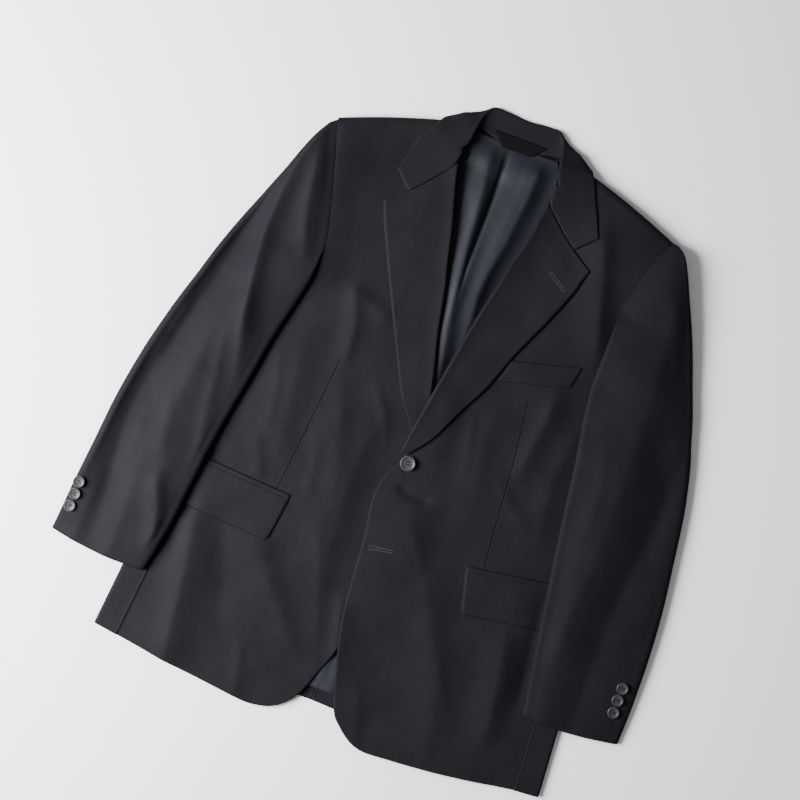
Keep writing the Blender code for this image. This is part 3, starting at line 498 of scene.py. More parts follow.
def lapelPanel(side):  # up round the roll line, then out over the front
    def point(u, v):
        x0, y0, x1, y1, radius, bow = along(lapelTable[side], v).T
        width = np.hypot(x1 - x0, y1 - y0)
        ux, uy = (x1 - x0) / width, (y1 - y0) / width
        middle = frontTop(side, x0 + radius * ux, y0 + radius * uy) - wall["front"] / 2
        angle = math.pi * (np.clip(u / lapel["turn"], 0.0, 1.0) - 0.5)
        turned = radius * (1.0 - np.cos(angle))
        out = mix(radius, width, (u - lapel["turn"]) / (1.0 - lapel["turn"]))
        s = np.where(u < lapel["turn"], turned, out)
        x, y = x0 + s * ux, y0 + s * uy
        y = y + np.where(u < lapel["turn"], 0.0, bow * np.sin(math.pi * s / width))
        rest = lapel["lift"] + wall["lapel"] / 2
        start = 2.0 * radius - wall["front"] / 2
        lift = rest + (start - rest) * np.exp(-(s - radius) / lapel["fall"])
        atTop, atFoot = lapel["bellyEnds"]
        belly = lapel["belly"] * smooth(s / width * lapel["bellyRise"])
        belly = belly * smooth(v * atTop) * smooth((1.0 - v) * atFoot)
        over = frontTop(side, x, y) + lift + belly
        return x, y, np.where(u < lapel["turn"], middle + radius * (1.0 + np.sin(angle)), over)
    return point


# left half of the collar: seam x, y, z; roll x, y, z; bend x, y, z; outer edge x, y, z
collarTable = np.array([
    (0, 0, 0, 116, 281, 1.5, 126, 291, 1.5, 137, 302, 1.5),
    (0, 0, 0, 97, 297, 1.8, 114, 305, 1.8, 132, 314, 1.5),
    (0, 0, 0, 80.5, 311.5, 2.6, 104, 319, 2.2, 127, 327, 1.5),
    (0, 0, 0, 65, 327.5, 4.4, 93, 333, 2.8, 121, 340, 1.5),
    (68, 342, 2.2, 63, 342, 3.8, 90, 348, 3.6, 115, 353, 1.6),
    (75, 357, 1.3, 61, 358, 3.8, 87, 363, 3.8, 109, 366, 1.8),
    (71, 373, 1.5, 58, 377, 3.6, 84, 381, 3.4, 104, 376, 2.6),
    (66, 384, 9.0, 55.5, 396, 11.5, 79, 396.5, 9.5, 99, 384, 5.0),
    (58, 386, 7.5, 51.5, 409, 8.0, 66, 403, 3.5, 88, 374, 0.9),
    (46, 384, 5.8, 44, 417.5, 5.0, 50, 409, 1.4, 63, 362, 0.9),
    (28, 380, 5.0, 26, 418, 3.2, 28, 408, 0.9, 34, 355, 0.9),
    (0, 378, 4.8, 0, 416, 3.0, 0, 407, 0.9, 0, 352, 0.9),
])
collar = dict(onShoulder=7, gorge=(0.64, 0.42, 0.22, 0.045), gorgeGap=0.9, turn=1.5, roll=1.4,
              drawn=150, soft=1.1,
              rightShift=((3, -4.5), (1.5, -2.2), (0, 1.5), (-2.5, 5.5), (-1, 4)))


def onLapel(side, share):  # where the collar is sewn to the upper edge of the lapel
    x0, y0, x1, y1, radius, _ = lapelTable[side][0]
    width = math.hypot(x1 - x0, y1 - y0)
    u = mix(lapel["turn"], 1.0, (share * width - radius) / (width - radius))
    x, y, z = (float(c[0]) for c in lapelPanel(side)(np.array([u]), np.array([0.0])))
    away = Vector((y0 - y1, x1 - x0)).normalized() * side
    return Vector((x + away.x * collar["gorgeGap"], y + away.y * collar["gorgeGap"], z))


def collarCorners(side, k):  # seam, roll line, bend and outer edge at one section
    corners = [Vector(collarTable[k][3 * i:3 * i + 3]) for i in range(4)]
    for p in corners:
        p.x *= side
        if side == rightSide and k < len(collar["rightShift"]):
            p.x += collar["rightShift"][k][0]
            p.y += collar["rightShift"][k][1]
        if k < collar["onShoulder"]:
            p.z += frontAt(side, p.x, p.y)
    if k < len(collar["gorge"]):
        corners[0] = onLapel(side, collar["gorge"][k])
    return corners


def collarSection(side, k):
    seam, roll, bend, edge = collarCorners(side, k)
    before, after = max(k - 1, 0), min(k + 1, len(collarTable) - 1)
    course = collarCorners(side, after)[1] - collarCorners(side, before)[1]
    down, up = (seam - roll).normalized(), (bend - roll).normalized()
    if down.dot(up) < 0.0:
        step = min(collar["turn"], 0.5 * (seam - roll).length)
        ways = ((down, 1.0), (down, 0.5), (down, 0.0), (up, 0.5), (up, 1.0))
        turned = [roll + way * step * share for way, share in ways]
    else:
        out = (down - up) - (down - up).project(course)
        out = out.normalized() * collar["roll"]
        middle = (down + up) - (down + up).project(course)
        middle = (middle - middle.project(out)).normalized() * collar["roll"]
        turned = [roll + middle * (1.0 - math.cos(a)) + out * math.sin(a)
                  for a in (math.pi / 2, math.pi / 4, 0.0, -math.pi / 4, -math.pi / 2)]
    corners = np.array([tuple(p) for p in (seam, *turned, bend, edge)])
    run = np.concatenate([[0.0], np.cumsum(np.linalg.norm(np.diff(corners, axis=0), axis=1))])
    even = np.linspace(0.0, run[-1], collar["drawn"])
    line = np.stack([np.interp(even, run, c) for c in corners.T], axis=1)
    spread = np.exp(-0.5 * ((even[:, None] - even) / collar["soft"]) ** 2)
    soft = spread @ line / spread.sum(axis=1)[:, None]
    near = np.minimum(even, run[-1] - even)[:, None]
    return mix(line, soft, smooth(near / (3.0 * collar["soft"])))


def collarPanel():  # one strip from the right lapel round the neck to the left one
    halves = {side: [collarSection(side, k) for k in range(len(collarTable))]
              for side in (rightSide, leftSide)}
    stations = np.array(halves[rightSide] + halves[leftSide][-2::-1])
    count = collar["drawn"]

    def point(u, v):
        lines = along(stations.reshape(len(stations), -1), v).reshape(-1, count, 3)
        place = u * (count - 1)
        i = np.minimum(place.astype(int), count - 2)
        rows = np.arange(len(u))
        return mix(lines[rows, i], lines[rows, i + 1], (place - i)[:, None]).T
    return point


# upper front corner, run to the upper back corner, run down the front end
flapTable = {
    rightSide: dict(corner=(-117.5, -149.0), run=(-148.0, 9.0), down=(-8.0, -58.0)),
    leftSide: dict(corner=(129.0, -155.0), run=(144.0, 21.0), down=(13.0, -53.0)),
}
pocket = dict(flapRound=6.0, jetHeight=5.0, jetGap=0.5, reach=24.0, cover=3.0,
              depth=62.0, lift=0.3, puff=0.5, puffShape=(0.7, 0.3))
welt = dict(corner=(82.0, 88.2), run=(89.0, 23.5), up=(5.5, 29.0))


def flapCover(side, x, y):  # 1 over a pocket flap, fading to 0 around it
    flap = flapTable[side]
    ax, ay = flap["run"]
    length = math.hypot(ax, ay)
    dx, dy = x - flap["corner"][0], y - flap["corner"][1]
    a = (dx * ax + dy * ay) / length
    d = (dx * ay - dy * ax) / length * side
    reach = pocket["reach"]
    return (smooth((a + reach) / reach) * smooth((length + reach - a) / reach)
            * smooth((d + pocket["jetHeight"] + reach) / reach)
            * smooth((pocket["depth"] + reach - d) / reach))


def patchPanel(side, corner, run, rise, roundEnd=0.0, puff=0.0):  # a small piece on a front
    length, depth = math.hypot(*run), math.hypot(*rise)

    def point(u, v):
        past = np.maximum(v * depth - depth + roundEnd, 0.0)
        cutIn = (roundEnd - np.sqrt(np.maximum(roundEnd ** 2 - past ** 2, 0.0))) / length
        u = mix(cutIn, 1.0 - cutIn, u)
        x = corner[0] + u * run[0] + v * rise[0]
        y = corner[1] + u * run[1] + v * rise[1]
        z = puff
        for t, power in zip((v, u), pocket["puffShape"]):
            z = z * np.maximum(np.sin(math.pi * t), 0.0) ** power
        return x, y, frontTop(side, x, y) + pocket["lift"] + z
    return point


# inner x, y; outer x, y; share folded under, width folded under, start of the under sleeve,
# height at the outer fold, crown
sleeveTable = {
    leftSide: np.array([
        (229.9, 333, 238, 330.5, 0, 0, 0.6, 20, 0),
        (222.9, 320, 250, 321, 0, 0, 0.6, 21, 1),
        (214.9, 303, 262, 300, 0, 0, 0.6, 21, 2),
        (206.9, 276, 276, 270, 0, 0, 0.6, 20, 3),
        (201, 250, 291, 238, 0, 0, 0.6, 18, 4),
        (198, 226, 305, 205, 0, 0, 0.8, 16, 5),
        (196, 196, 319, 168, 0.5, 3, 7, 14, 5),
        (195, 160, 333, 131, 0.8, 8, 13, 13, 5),
        (195, 124, 344, 97, 1, 12, 21, 12, 5),
        (199, 88, 353, 70, 1, 15, 15.6, 11.5, 5),
        (205, 50, 361, 38, 1, 15, 15.6, 11, 5),
        (211, 14, 368, 4, 1, 15, 15.6, 10.5, 5),
        (220, -50, 377, -58, 1, 15, 15.6, 10, 5),
        (230, -115, 385, -118, 1, 15, 15.6, 9.5, 4.5),
        (240, -178, 389.5, -178, 1, 15, 15.6, 9, 4),
        (250, -238, 391, -235, 1, 15, 15.6, 8, 3.5),
        (256, -272, 391, -268, 1, 15, 15.6, 7.5, 3),
        (260, -304, 390, -297, 1, 15, 15.6, 7, 2.5),
    ]),
    rightSide: np.array([
        (-229.6, 332.5, -238, 322, 0, 0, 0.6, 20, 0),
        (-226.4, 315, -250, 300, 0, 0, 0.6, 21, 1),
        (-221.4, 298, -260, 275, 0, 0, 0.6, 21, 2),
        (-214.4, 275, -269, 250, 0, 0, 0.6, 20, 3),
        (-207.4, 250, -279, 226, 0, 0, 0.6, 18, 4),
        (-200.4, 224, -290, 199, 0, 0, 0.6, 17, 5),
        (-194.4, 198, -300, 174, 0, 0, 0.6, 16, 5),
        (-189.4, 172, -310, 146, 0, 0, 7, 15, 5),
        (-187.4, 146, -320, 115, 0.3, 2, 14, 14, 5),
        (-189, 118, -329, 84, 0.9, 9, 19, 13, 5),
        (-197, 84, -339, 52, 1, 15, 15.6, 12, 5),
        (-206, 46, -349, 16, 1, 15, 15.6, 11, 5),
        (-218, -24, -361, -34, 1, 15, 15.6, 10.5, 5),
        (-231, -100, -372, -98, 1, 15, 15.6, 10, 4.5),
        (-240, -175, -379, -168, 1, 15, 15.6, 9, 4),
        (-247, -235, -385, -225, 1, 15, 15.6, 8, 3.5),
        (-253, -268, -388, -260, 1, 15, 15.6, 7.5, 3),
        (-260, -299, -391, -290, 1, 15, 15.6, 7, 2.5),
    ]),
}
sleeve = dict(clear=1.2, head=2.2, headOpen=0.5, fold=7.0, step=18.0, hemOut=9.0,
              ramp=(152.0, 122.0), cuffBow=-4.0, underFrom=1 / 12, unevenness=0.3,
              foldReach=9.0, flatStep=0.3, tuck=3.0, over=0.35, underGap=0.2,
              hemShare=0.25, foldShare=0.1, cuffPower=16, outerGap=2.0,
              swell={rightSide: 9.5, leftSide: 1.0}, swellReach=30.0, swellFrom=0.3,
              swellTo=1.02, swellEnds=5.0, creasesFrom={rightSide: 16.0, leftSide: 34.0},
              underCells=3, foldCells=10, topCells=50)
sleeveFolds = {
    rightSide: [
        (11.4, 10, 15, [(-243, 370), (-256, 262), (-262, 212), (-264, 172), (-262, 130), (-257, 90),
                       (-251, 50), (-242, 10), (-228, -60)]),
        (4.8, 11, 12, [(-240, 320), (-231, 262), (-226, 225), (-219, 190), (-200, 130)]),
        (5.0, 22, 24, [(-276, 96), (-284, 20), (-291, -50), (-293, -100), (-288, -140),
                       (-278, -180), (-256, -236)]),
        (-8.0, 21, 27, [(-250, 330), (-271, 240), (-289, 160), (-308, 80), (-328, 0), (-343, -60),
                        (-350, -120), (-346, -180), (-341, -240), (-338, -340)]),
        (7.0, 13, 11, [(-290, -160), (-281, -190), (-270, -216), (-254, -290)]),
        (2.8, 20, 14, [(-314, -130), (-311, -220), (-311, -340)]),
        (2.4, 14, 12, [(-350, -170), (-356, -240), (-360, -340)]),
        (1.3, 9, 6, [(-318, 70), (-332, 16), (-345, -50)]),
        (1.1, 7, 6, [(-272, 84), (-260, 34), (-246, -16)]),
        (3.0, 9, 12, [(-276, 90), (-264, 10), (-257, -50), (-249, -110), (-238, -190)]),
        (1.3, 9, 7, [(-306, -50), (-300, -104), (-290, -160)]),
        (1.0, 8, 7, [(-330, -90), (-327, -140), (-326, -200)]),
    ],
    leftSide: [
        (5.4, 34, 33, [(246, 400), (262, 240), (268, 172), (273, 100), (275, 20), (276, -60),
                       (274, -120), (270, -172), (269, -240), (275, -300), (284, -420)]),
        (-3.4, 22, 20, [(350, 160), (342, 70), (335, -20), (326, -100), (322, -180), (322, -250),
                        (326, -400)]),
        (0.5, 14, 13, [(203, 228), (224, 232), (246, 241)]),
        (1.3, 12, 10, [(300, 210), (322, 130), (334, 40)]),
        (1.1, 9, 8, [(236, 70), (250, 6), (256, -70)]),
        (1.3, 10, 8, [(350, 30), (364, -50), (368, -150)]),
        (1.6, 9, 9, [(256, 310), (270, 262), (284, 210)]),
    ],
}


def overBody(side, x, y):  # lowest height of a sleeve where it lies on the body
    return frontTop(side, x, y) + sleeve["clear"] + pocket["cover"] * flapCover(side, x, y)


class SleeveCut:  # a flattened sleeve, read across at t from the shoulder to the cuff
    def __init__(self, side, t):
        self.side, self.t = side, t
        row = along(sleeveTable[side], t).T
        self.x0, self.y0, self.x1, self.y1, share, self.wrap, self.start, self.z1, self.crown = row
        self.share = np.clip(share, 0.0, 1.0)
        self.x0 = self.x0 - side * sleeve["tuck"] * (1.0 - self.share)
        self.width = np.hypot(self.x1 - self.x0, self.y1 - self.y0)
        joined = frontTop(side, self.x0, self.y0) + sleeve["over"]
        folded = overBody(side, self.x0, self.y0) + sleeve["fold"]
        self.z0 = mix(joined, folded, smooth(np.sqrt(self.share)))
        head = np.minimum(t * (len(sleeveTable[side]) - 1) / sleeve["head"], 1.0)
        self.rise = mix(sleeve["headOpen"], 1.0, quarterRound(head))
        self.out = np.minimum(sleeve["hemOut"], sleeve["hemShare"] * self.width)
        self.reach = np.minimum(sleeve["foldReach"], sleeve["foldShare"] * self.width)

    def place(self, s):
        f = s / self.width
        bow = sleeve["cuffBow"] * np.sin(math.pi * np.clip(f, 0.0, 1.0))
        bow = bow * self.t ** sleeve["cuffPower"]
        return mix(self.x0, self.x1, f), mix(self.y0, self.y1, f) + bow

    def level(self, z):
        return mix(0.5 * self.z1, z, self.rise)

    def top(self, s):
        x, y = self.place(s)
        f = s / self.width
        z = mix(self.z0, self.z1, smooth(f)) + self.crown * np.sin(math.pi * f)
        swell = np.exp(-((self.width - s) / sleeve["swellReach"]) ** 2)
        for past in (self.t - sleeve["swellFrom"], sleeve["swellTo"] - self.t):
            swell = swell * smooth(past * sleeve["swellEnds"])
        z = z + sleeve["swell"][self.side] * swell
        creases = foldHeight(sleeveFolds[self.side], x, y)
        creases = creases + sleeve["unevenness"] * uneven(x, y, 1.9)
        edge = np.minimum(f, 1.0 - f) * self.width
        return x, y, self.level(z + creases * smooth(edge / sleeve["creasesFrom"][self.side]))

    def bottom(self, s, ramped):
        x, y = self.place(s)
        z = overBody(self.side, x, y) * smooth((inside(x, y) + sleeve["step"]) / sleeve["step"])
        if ramped:
            high, low = sleeve["ramp"]
            z = z * smooth((high - y) / (high - low))
        return x, y, self.level(z)

    def rounded(self, edge, way, angle):  # on a fold whose own place is edge
        topZ = self.top(edge + way * self.reach)[2]
        lowZ = self.bottom(edge + way * self.reach, way < 0)[2]
        x, y = self.place(edge + way * self.reach * (1.0 - np.cos(angle)))
        return x, y, (topZ + lowZ) / 2 + (topZ - lowZ) / 2 * np.sin(angle)


def blended(a, b, t):
    return tuple(mix(p, q, t) for p, q in zip(a, b))


def chosen(test, a, b):
    return tuple(np.where(test, p, q) for p, q in zip(a, b))


def sleeveTopPanel(side):  # over the top, and turned under at both folds
    under, fold, over = sleeve["underCells"], sleeve["foldCells"], sleeve["topCells"]

    def point(u, v):
        cut = SleeveCut(side, v)
        k = u * (2 * under + 2 * fold + over)
        first, last = under + fold, under + fold + over
        wrap = np.maximum(cut.wrap, cut.reach)
        inner = chosen(k < under,
                       cut.bottom(mix(wrap, cut.reach, np.clip(k / under, 0.0, 1.0)), False),
                       cut.rounded(0.0, 1, math.pi * (np.clip((k - under) / fold, 0.0, 1.0) - 0.5)))
        inner = blended(cut.top(sleeve["flatStep"] * k), inner, cut.share)
        start = mix(sleeve["flatStep"] * first, cut.reach, cut.share)
        middle = cut.top(mix(start, cut.width - cut.reach, np.clip((k - first) / over, 0.0, 1.0)))
        turn = math.pi * (0.5 - np.clip((k - last) / fold, 0.0, 1.0))
        below = np.clip((k - last - fold) / under, 0.0, 1.0)
        outer = chosen(k < last + fold, cut.rounded(cut.width, -1, turn),
                       cut.bottom(cut.width - mix(cut.reach, cut.out, below), True))
        return chosen(k < first, inner, chosen(k < last, middle, outer))
    return point


def sleeveUnderPanel(side):  # underneath, between the two turned edges
    def point(u, v):
        cut = SleeveCut(side, mix(sleeve["underFrom"], 1.0, v))
        return cut.bottom(mix(cut.start, cut.width - cut.out - sleeve["underGap"], u), True)
    return point


def sleeveHeight(side, x, y):  # height of the top of a sleeve
    low, high = 0.5, 1.0
    for _ in range(30):
        t = (low + high) / 2
        x0, y0, x1, y1 = along(sleeveTable[side], np.array([t]))[0][:4]
        if mix(y0, y1, (x - x0) / (x1 - x0)) > y:
            low = t
        else:
            high = t
    cut = SleeveCut(side, np.array([t]))
    s = np.minimum((x - cut.x0) / (cut.x1 - cut.x0) * cut.width,
                   cut.width - sleeve["outerGap"])
    return float(cut.top(s)[2][0])


# y, middle x, half width
liningTable = np.array([
    (380, 0, 56),
    (368, 0, 60),
    (352, 0, 64),
    (322, 0, 70),
    (250, 2, 66),
    (160, 3, 52),
    (60, 4, 42),
    (-60, 6, 36),
    (-200, 8, 34),
    (-300, 10, 36),
    (-365, 10, 46),
])
lining = dict(gap=1.1, gapTop=0.2, top=376.0, gapRamp=10.0, riseRamp=26.0, rest=0.6, lowest=0.9,
              rippleHeight=0.6)
liningFolds = [
    (9.4, 24, 11, [(-36, 440), (-28, 350), (-22, 300), (-16, 240), (-12, 200), (-8, 160),
                   (2, 100), (9, 50), (14, -40)]),
    (-5.2, 2.6, 2.4, [(-9, 440), (-8, 340), (-8, 270), (-8, 215), (-3, 150)]),
    (9.0, 30, 10, [(38, 440), (35, 340), (32, 300), (27, 250), (20, 212), (18, 180), (20, 150),
                   (22, 60)]),
    (1.2, 8, 8, [(-4, -270), (2, -370)]),
    (1.2, 6, 8, [(22, -270), (28, -370)]),
    (3.2, 18, 9, [(12, -230), (17, -310), (20, -350), (26, -470)]),
]

ripples = [(0.35, 5.0, 60.0, 0.0), (0.25, 3.1, -45.0, 1.0)]  # height, width, length, shift


def liningPanel(u, v):  # on the inside of the back, from the neck down to the hem
    y = mix(liningTable[0][0], liningTable[-1][0], v)
    middle, half = (np.interp(-y, -liningTable[:, 0], liningTable[:, k]) for k in (1, 2))
    x = middle + half * (2 * u - 1)
    below = lining["top"] - y
    rippled = sum(h * np.sin(x / wide + y / long + shift) for h, wide, long, shift in ripples)
    folds = foldHeight(liningFolds, x, y) + rippled * lining["rippleHeight"]
    rise = np.maximum(folds, -lining["gap"] * lining["lowest"]) + lining["rest"]
    gap = mix(lining["gapTop"], lining["gap"], smooth(below / lining["gapRamp"]))
    rise = smooth(below / lining["riseRamp"]) * np.maximum(rise, 0.0)
    return x, y, underBack(x, y) + wall["back"] + gap + rise


label = dict(corner=(-35.0, 372.5), width=71.0, height=17.0, taper=0.55, z=6.2, swell=0.25,
             swellInset=0.01)


def labelPanel(u, v):  # a little narrower at its lower edge
    across = 0.5 + (u - 0.5) * mix(label["taper"], 1.0, v)
    inset = np.clip(u, label["swellInset"], 1.0 - label["swellInset"])
    return (label["corner"][0] + across * label["width"],
            label["corner"][1] + v * label["height"],
            label["z"] + label["swell"] * np.sqrt(np.sin(math.pi * inset)))


class Wire:  # an output socket that sums can be written on
    def __init__(self, finish, socket):
        self.finish, self.socket = finish, socket

    def maths(self, operation, first, second=0.0):
        return self.finish.node("ShaderNodeMath", {"operation": operation}, {0: first, 1: second})

    def __add__(self, other):
        return self.maths("ADD", self, other)

    def __radd__(self, other):
        return self.maths("ADD", other, self)

    def __sub__(self, other):
        return self.maths("SUBTRACT", self, other)

    def __rsub__(self, other):
        return self.maths("SUBTRACT", other, self)

    def __mul__(self, other):
        return self.maths("MULTIPLY", self, other)

    def __rmul__(self, other):
        return self.maths("MULTIPLY", other, self)

    def sine(self):
        return self.maths("SINE", self)

    def size(self):
        return self.maths("ABSOLUTE", self)

    def most(self, other):
        return self.maths("MAXIMUM", self, other)

    def between(self, low, high):  # 0 below low, 1 above high, smooth between
        return self.finish.node("ShaderNodeMapRange", {"interpolation_type": "SMOOTHSTEP"},
                                {"Value": self, "From Min": low, "From Max": high})


class Finish:  # a material whose nodes are written as sums
    def __init__(self, name, roughness, **constants):
        self.material = bpy.data.materials.new(name)
        self.material.use_nodes = True
        self.tree = self.material.node_tree
        self.shader = self.tree.nodes["Principled BSDF"]
        self.shader.inputs["Roughness"].default_value = roughness
        for key, value in constants.items():
            self.shader.inputs[key.replace("_", " ")].default_value = value

    def node(self, kind, settings=None, sockets=None, output=0):
        made = self.tree.nodes.new(kind)
        for key, value in (settings or {}).items():
            setattr(made, key, value)
        for key, value in (sockets or {}).items():
            self.put(made.inputs[key], value)
        return Wire(self, made.outputs[output])

    def put(self, socket, value):
        if isinstance(value, Wire):
            self.tree.links.new(value.socket, socket)
        else:
            socket.default_value = value

    def place(self):
        return self.node("ShaderNodeTexCoord", output="Object")

    def noise(self, scale, detail, rough):
        return self.node("ShaderNodeTexNoise", sockets={
            "Vector": self.place(), "Scale": scale, "Detail": detail, "Roughness": rough})

    def parts(self, vector):
        made = self.tree.nodes.new("ShaderNodeSeparateXYZ")
        self.put(made.inputs[0], vector)
        return [Wire(self, socket) for socket in made.outputs]

    def layer(self, name):  # the way across and up the cloth, or the painted shade: how level it lies, lower beside a roll
        return self.parts(self.node("ShaderNodeUVMap", {"uv_map": name}))

    def colours(self, factor, a, b):
        a, b = (c if isinstance(c, Wire) else (*c, 1.0) for c in (a, b))
        return self.node("ShaderNodeMix", {"data_type": "RGBA"}, {0: factor, 6: a, 7: b}, output=2)

    def tint(self, factor, dark, light):
        self.put(self.shader.inputs["Base Color"], self.colours(factor, dark, light))

    def bump(self, height, distance):
        normal = self.node("ShaderNodeBump", sockets={
            "Height": height, "Distance": distance, "Strength": 1.0})
        self.put(self.shader.inputs["Normal"], normal)

    def seam(self, start, end, half):  # 1 on a straight line between two points, 0 away from it
        (x0, y0), (x1, y1) = start, end
        length = math.hypot(x1 - x0, y1 - y0)
        ux, uy = (x1 - x0) / length, (y1 - y0) / length
        x, y, _ = self.parts(self.place())
        dx, dy = x - x0 * mm, y - y0 * mm
        off = (dx * uy - dy * ux).size()
        past = ((dx * ux + dy * uy) - 0.5 * length * mm).size() - 0.5 * length * mm
        return 1.0 - off.most(past).between(0.0, half * mm)


# a noise has a scale, a detail and a roughness of its own
woolLook = dict(dark=(0.0040, 0.0036, 0.0046), light=(0.0112, 0.0102, 0.0130), roughness=0.66,
                gloss=0.025, twill=1.3, slant=0.7, relief=0.00032, grain=(1100.0, 3.0, 0.6),
                fuzz=(320.0, 3.0, 0.6), cloud=(17.0, 3.0, 0.55), rumple=(70.0, 2.0, 0.5),
                seam=1.1, seamShade=0.75, seamDepth=1.6, seamColour=(0.001, 0.001, 0.0012),
                shadow=(0.0008, 0.0008, 0.001), shadowShare=0.65, shadowSlope=(0.2, 0.85))


def woolFinish(name, seams=()):
    wool = Finish(name, woolLook["roughness"], Specular_IOR_Level=woolLook["gloss"])
    across, upward, _ = wool.layer("cloth")
    turns = 2.0 * math.pi / (woolLook["twill"] * mm)
    twill = 0.5 + 0.5 * (across * turns + upward * (turns * woolLook["slant"])).sine()
    grain, fuzz, cloud, rumple = (
        wool.noise(*woolLook[kind]) for kind in ("grain", "fuzz", "cloud", "rumple"))
    shade = grain * 0.5 + fuzz * 0.35 + cloud * 0.45 + twill * 0.10 - 0.26
    height = grain * 0.5 + fuzz * 0.5 + twill * 0.10 + rumple * 1.6
    colour = wool.colours(shade, woolLook["dark"], woolLook["light"])
    for start, end in seams:
        line = wool.seam(start, end, woolLook["seam"])
        colour = wool.colours(line * woolLook["seamShade"], colour, woolLook["seamColour"])
        height = height - line * woolLook["seamDepth"]
    # painted shade: the colour darkens towards the shadow colour where the cloth is steep and
    # beside rolls
    level, _, _ = wool.layer("slope")
    share = woolLook["shadowShare"]
    lit = 1.0 - share + level.between(*woolLook["shadowSlope"]) * share
    wool.tint(lit, woolLook["shadow"], colour)
    wool.bump(height, woolLook["relief"])
    return wool.material


satinLook = dict(dark=(0.0060, 0.0065, 0.0088), light=(0.0128, 0.0141, 0.0186),
                 roughness=0.46, uneven=0.16, gloss=0.08, weave=7000.0, relief=0.0004,
                 grain=(700.0, 2.0, 0.5), cloud=(24.0, 3.0, 0.5), rumple=(55.0, 3.0, 0.5))


def satinFinish():
    satin = Finish("satin", satinLook["roughness"], Specular_IOR_Level=satinLook["gloss"])
    _, upward, _ = satin.layer("cloth")
    weave = (upward * satinLook["weave"]).sine() * 0.5 + 0.5
    grain, cloud, rumple = (
        satin.noise(*satinLook[kind]) for kind in ("grain", "cloud", "rumple"))
    shade = grain * 0.4 + cloud * 0.5 + weave * 0.06
    satin.tint(shade, satinLook["dark"], satinLook["light"])
    rough = satinLook["roughness"] + grain * satinLook["uneven"]
    satin.put(satin.shader.inputs["Roughness"], rough)
    satin.bump(rumple * 2.0 + weave * 0.06 + grain * 0.2, satinLook["relief"])
    return satin.material


hornLook = dict(dark=(0.010, 0.010, 0.012), light=(0.031, 0.031, 0.035),
                roughness=0.38, uneven=0.12, gloss=0.2, relief=0.00005,
                cloud=(180.0, 4.0, 0.6), grain=(500.0, 2.0, 0.5), wear=(900.0, 2.0, 0.5))


def hornFinish():
    horn = Finish("horn", hornLook["roughness"], Specular_IOR_Level=hornLook["gloss"])
    cloud, grain, wear = (horn.noise(*hornLook[kind]) for kind in ("cloud", "grain", "wear"))
    horn.tint(cloud, hornLook["dark"], hornLook["light"])
    rough = hornLook["roughness"] + grain * hornLook["uneven"]
    horn.put(horn.shader.inputs["Roughness"], rough)
    horn.bump(wear, hornLook["relief"])
    return horn.material


wovenLook = dict(dark=(0.0009, 0.0009, 0.0012), light=(0.0028, 0.0028, 0.0034),
                 roughness=0.6, gloss=0.05, rib=9000.0, weave=6500.0, relief=0.00015)


def wovenFinish():
    woven = Finish("woven", wovenLook["roughness"], Specular_IOR_Level=wovenLook["gloss"])
    across, upward, _ = woven.layer("cloth")
    rib = (upward * wovenLook["rib"]).sine() * 0.5 + 0.5
    weave = (across * wovenLook["weave"]).sine() * 0.5 + 0.5
    woven.tint(rib * 0.6 + weave * 0.3, wovenLook["dark"], wovenLook["light"])
    woven.bump(rib * 0.6 + weave * 0.4, wovenLook["relief"])
    return woven.material


threadLook = dict(roughness=0.6, gloss=0.15, twist=9000.0, lighter=2.0, relief=0.00012)
# the purl stitches are the thread's colour made lighter, a painted sheen on the stitches
threadColours = dict(thread=(0.003, 0.003, 0.004), purl_and_sheen=(0.017, 0.017, 0.021),
                     # slit: near black, painted shade in the cut of a buttonhole
                     slit=(0.0004, 0.0004, 0.0005))


def threadFinish(name):
    thread = Finish(name, threadLook["roughness"], Specular_IOR_Level=threadLook["gloss"])
    x, y, z = thread.parts(thread.place())
    twist = ((x + y + z) * threadLook["twist"]).sine() * 0.5 + 0.5
    dark = threadColours[name]
    thread.tint(twist, dark, tuple(c * threadLook["lighter"] for c in dark))
    thread.bump(twist, threadLook["relief"])
    return thread.material


dartSeams = {
    rightSide: [((-118, 42), (-127, -58)), ((-127, -58), (-136, -144))],
    leftSide: [((127, 78), (137, -6)), ((137, -6), (149, -144))],
}
materials = {
    "wool": woolFinish("wool"),
    "frontRight": woolFinish("wool_front_right", dartSeams[rightSide]),
    "frontLeft": woolFinish("wool_front_left", dartSeams[leftSide]),
    "satin": satinFinish(),
    "horn": hornFinish(),
    "woven": wovenFinish(),
}
for name in threadColours:
    materials[name] = threadFinish(name)
print("finishes made")

# cells across and along, cut width and length in metres, flat area in square metres
cuts = {
    "front": ((96, 230), (0.30, 0.83), 0.19),
    "side": ((44, 120), (0.10, 0.50), 0.05),
    "back": ((44, 130), (0.24, 0.79), 0.17),
    "lapel": ((50, 130), (0.12, 0.40), 0.03),
    "collar": ((72, 240), (0.07, 0.48), 0.025),
    "sleeveTop": ((76, 190), (0.2, 0.66), 0.10),
    "sleeveUnder": ((30, 150), (0.14, 0.6), 0.07),
    "flap": ((60, 30), (0.15, 0.06), 0.0085),
    "jet": ((60, 5), (0.15, 0.01), 0.0012),
    "welt": ((40, 14), (0.092, 0.03), 0.0027),
    "lining": ((90, 200), (0.14, 0.74), 0.07),
    "label": ((40, 12), (0.071, 0.017), 0.0012),
}


def cloth(node, point, cut, thickness, restsOn, slot="wool", **looks):
    cells, flat, area = cuts[cut]
    obj = panel("cloth_" + node, point, cells, thickness, **looks)
    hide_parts(node)


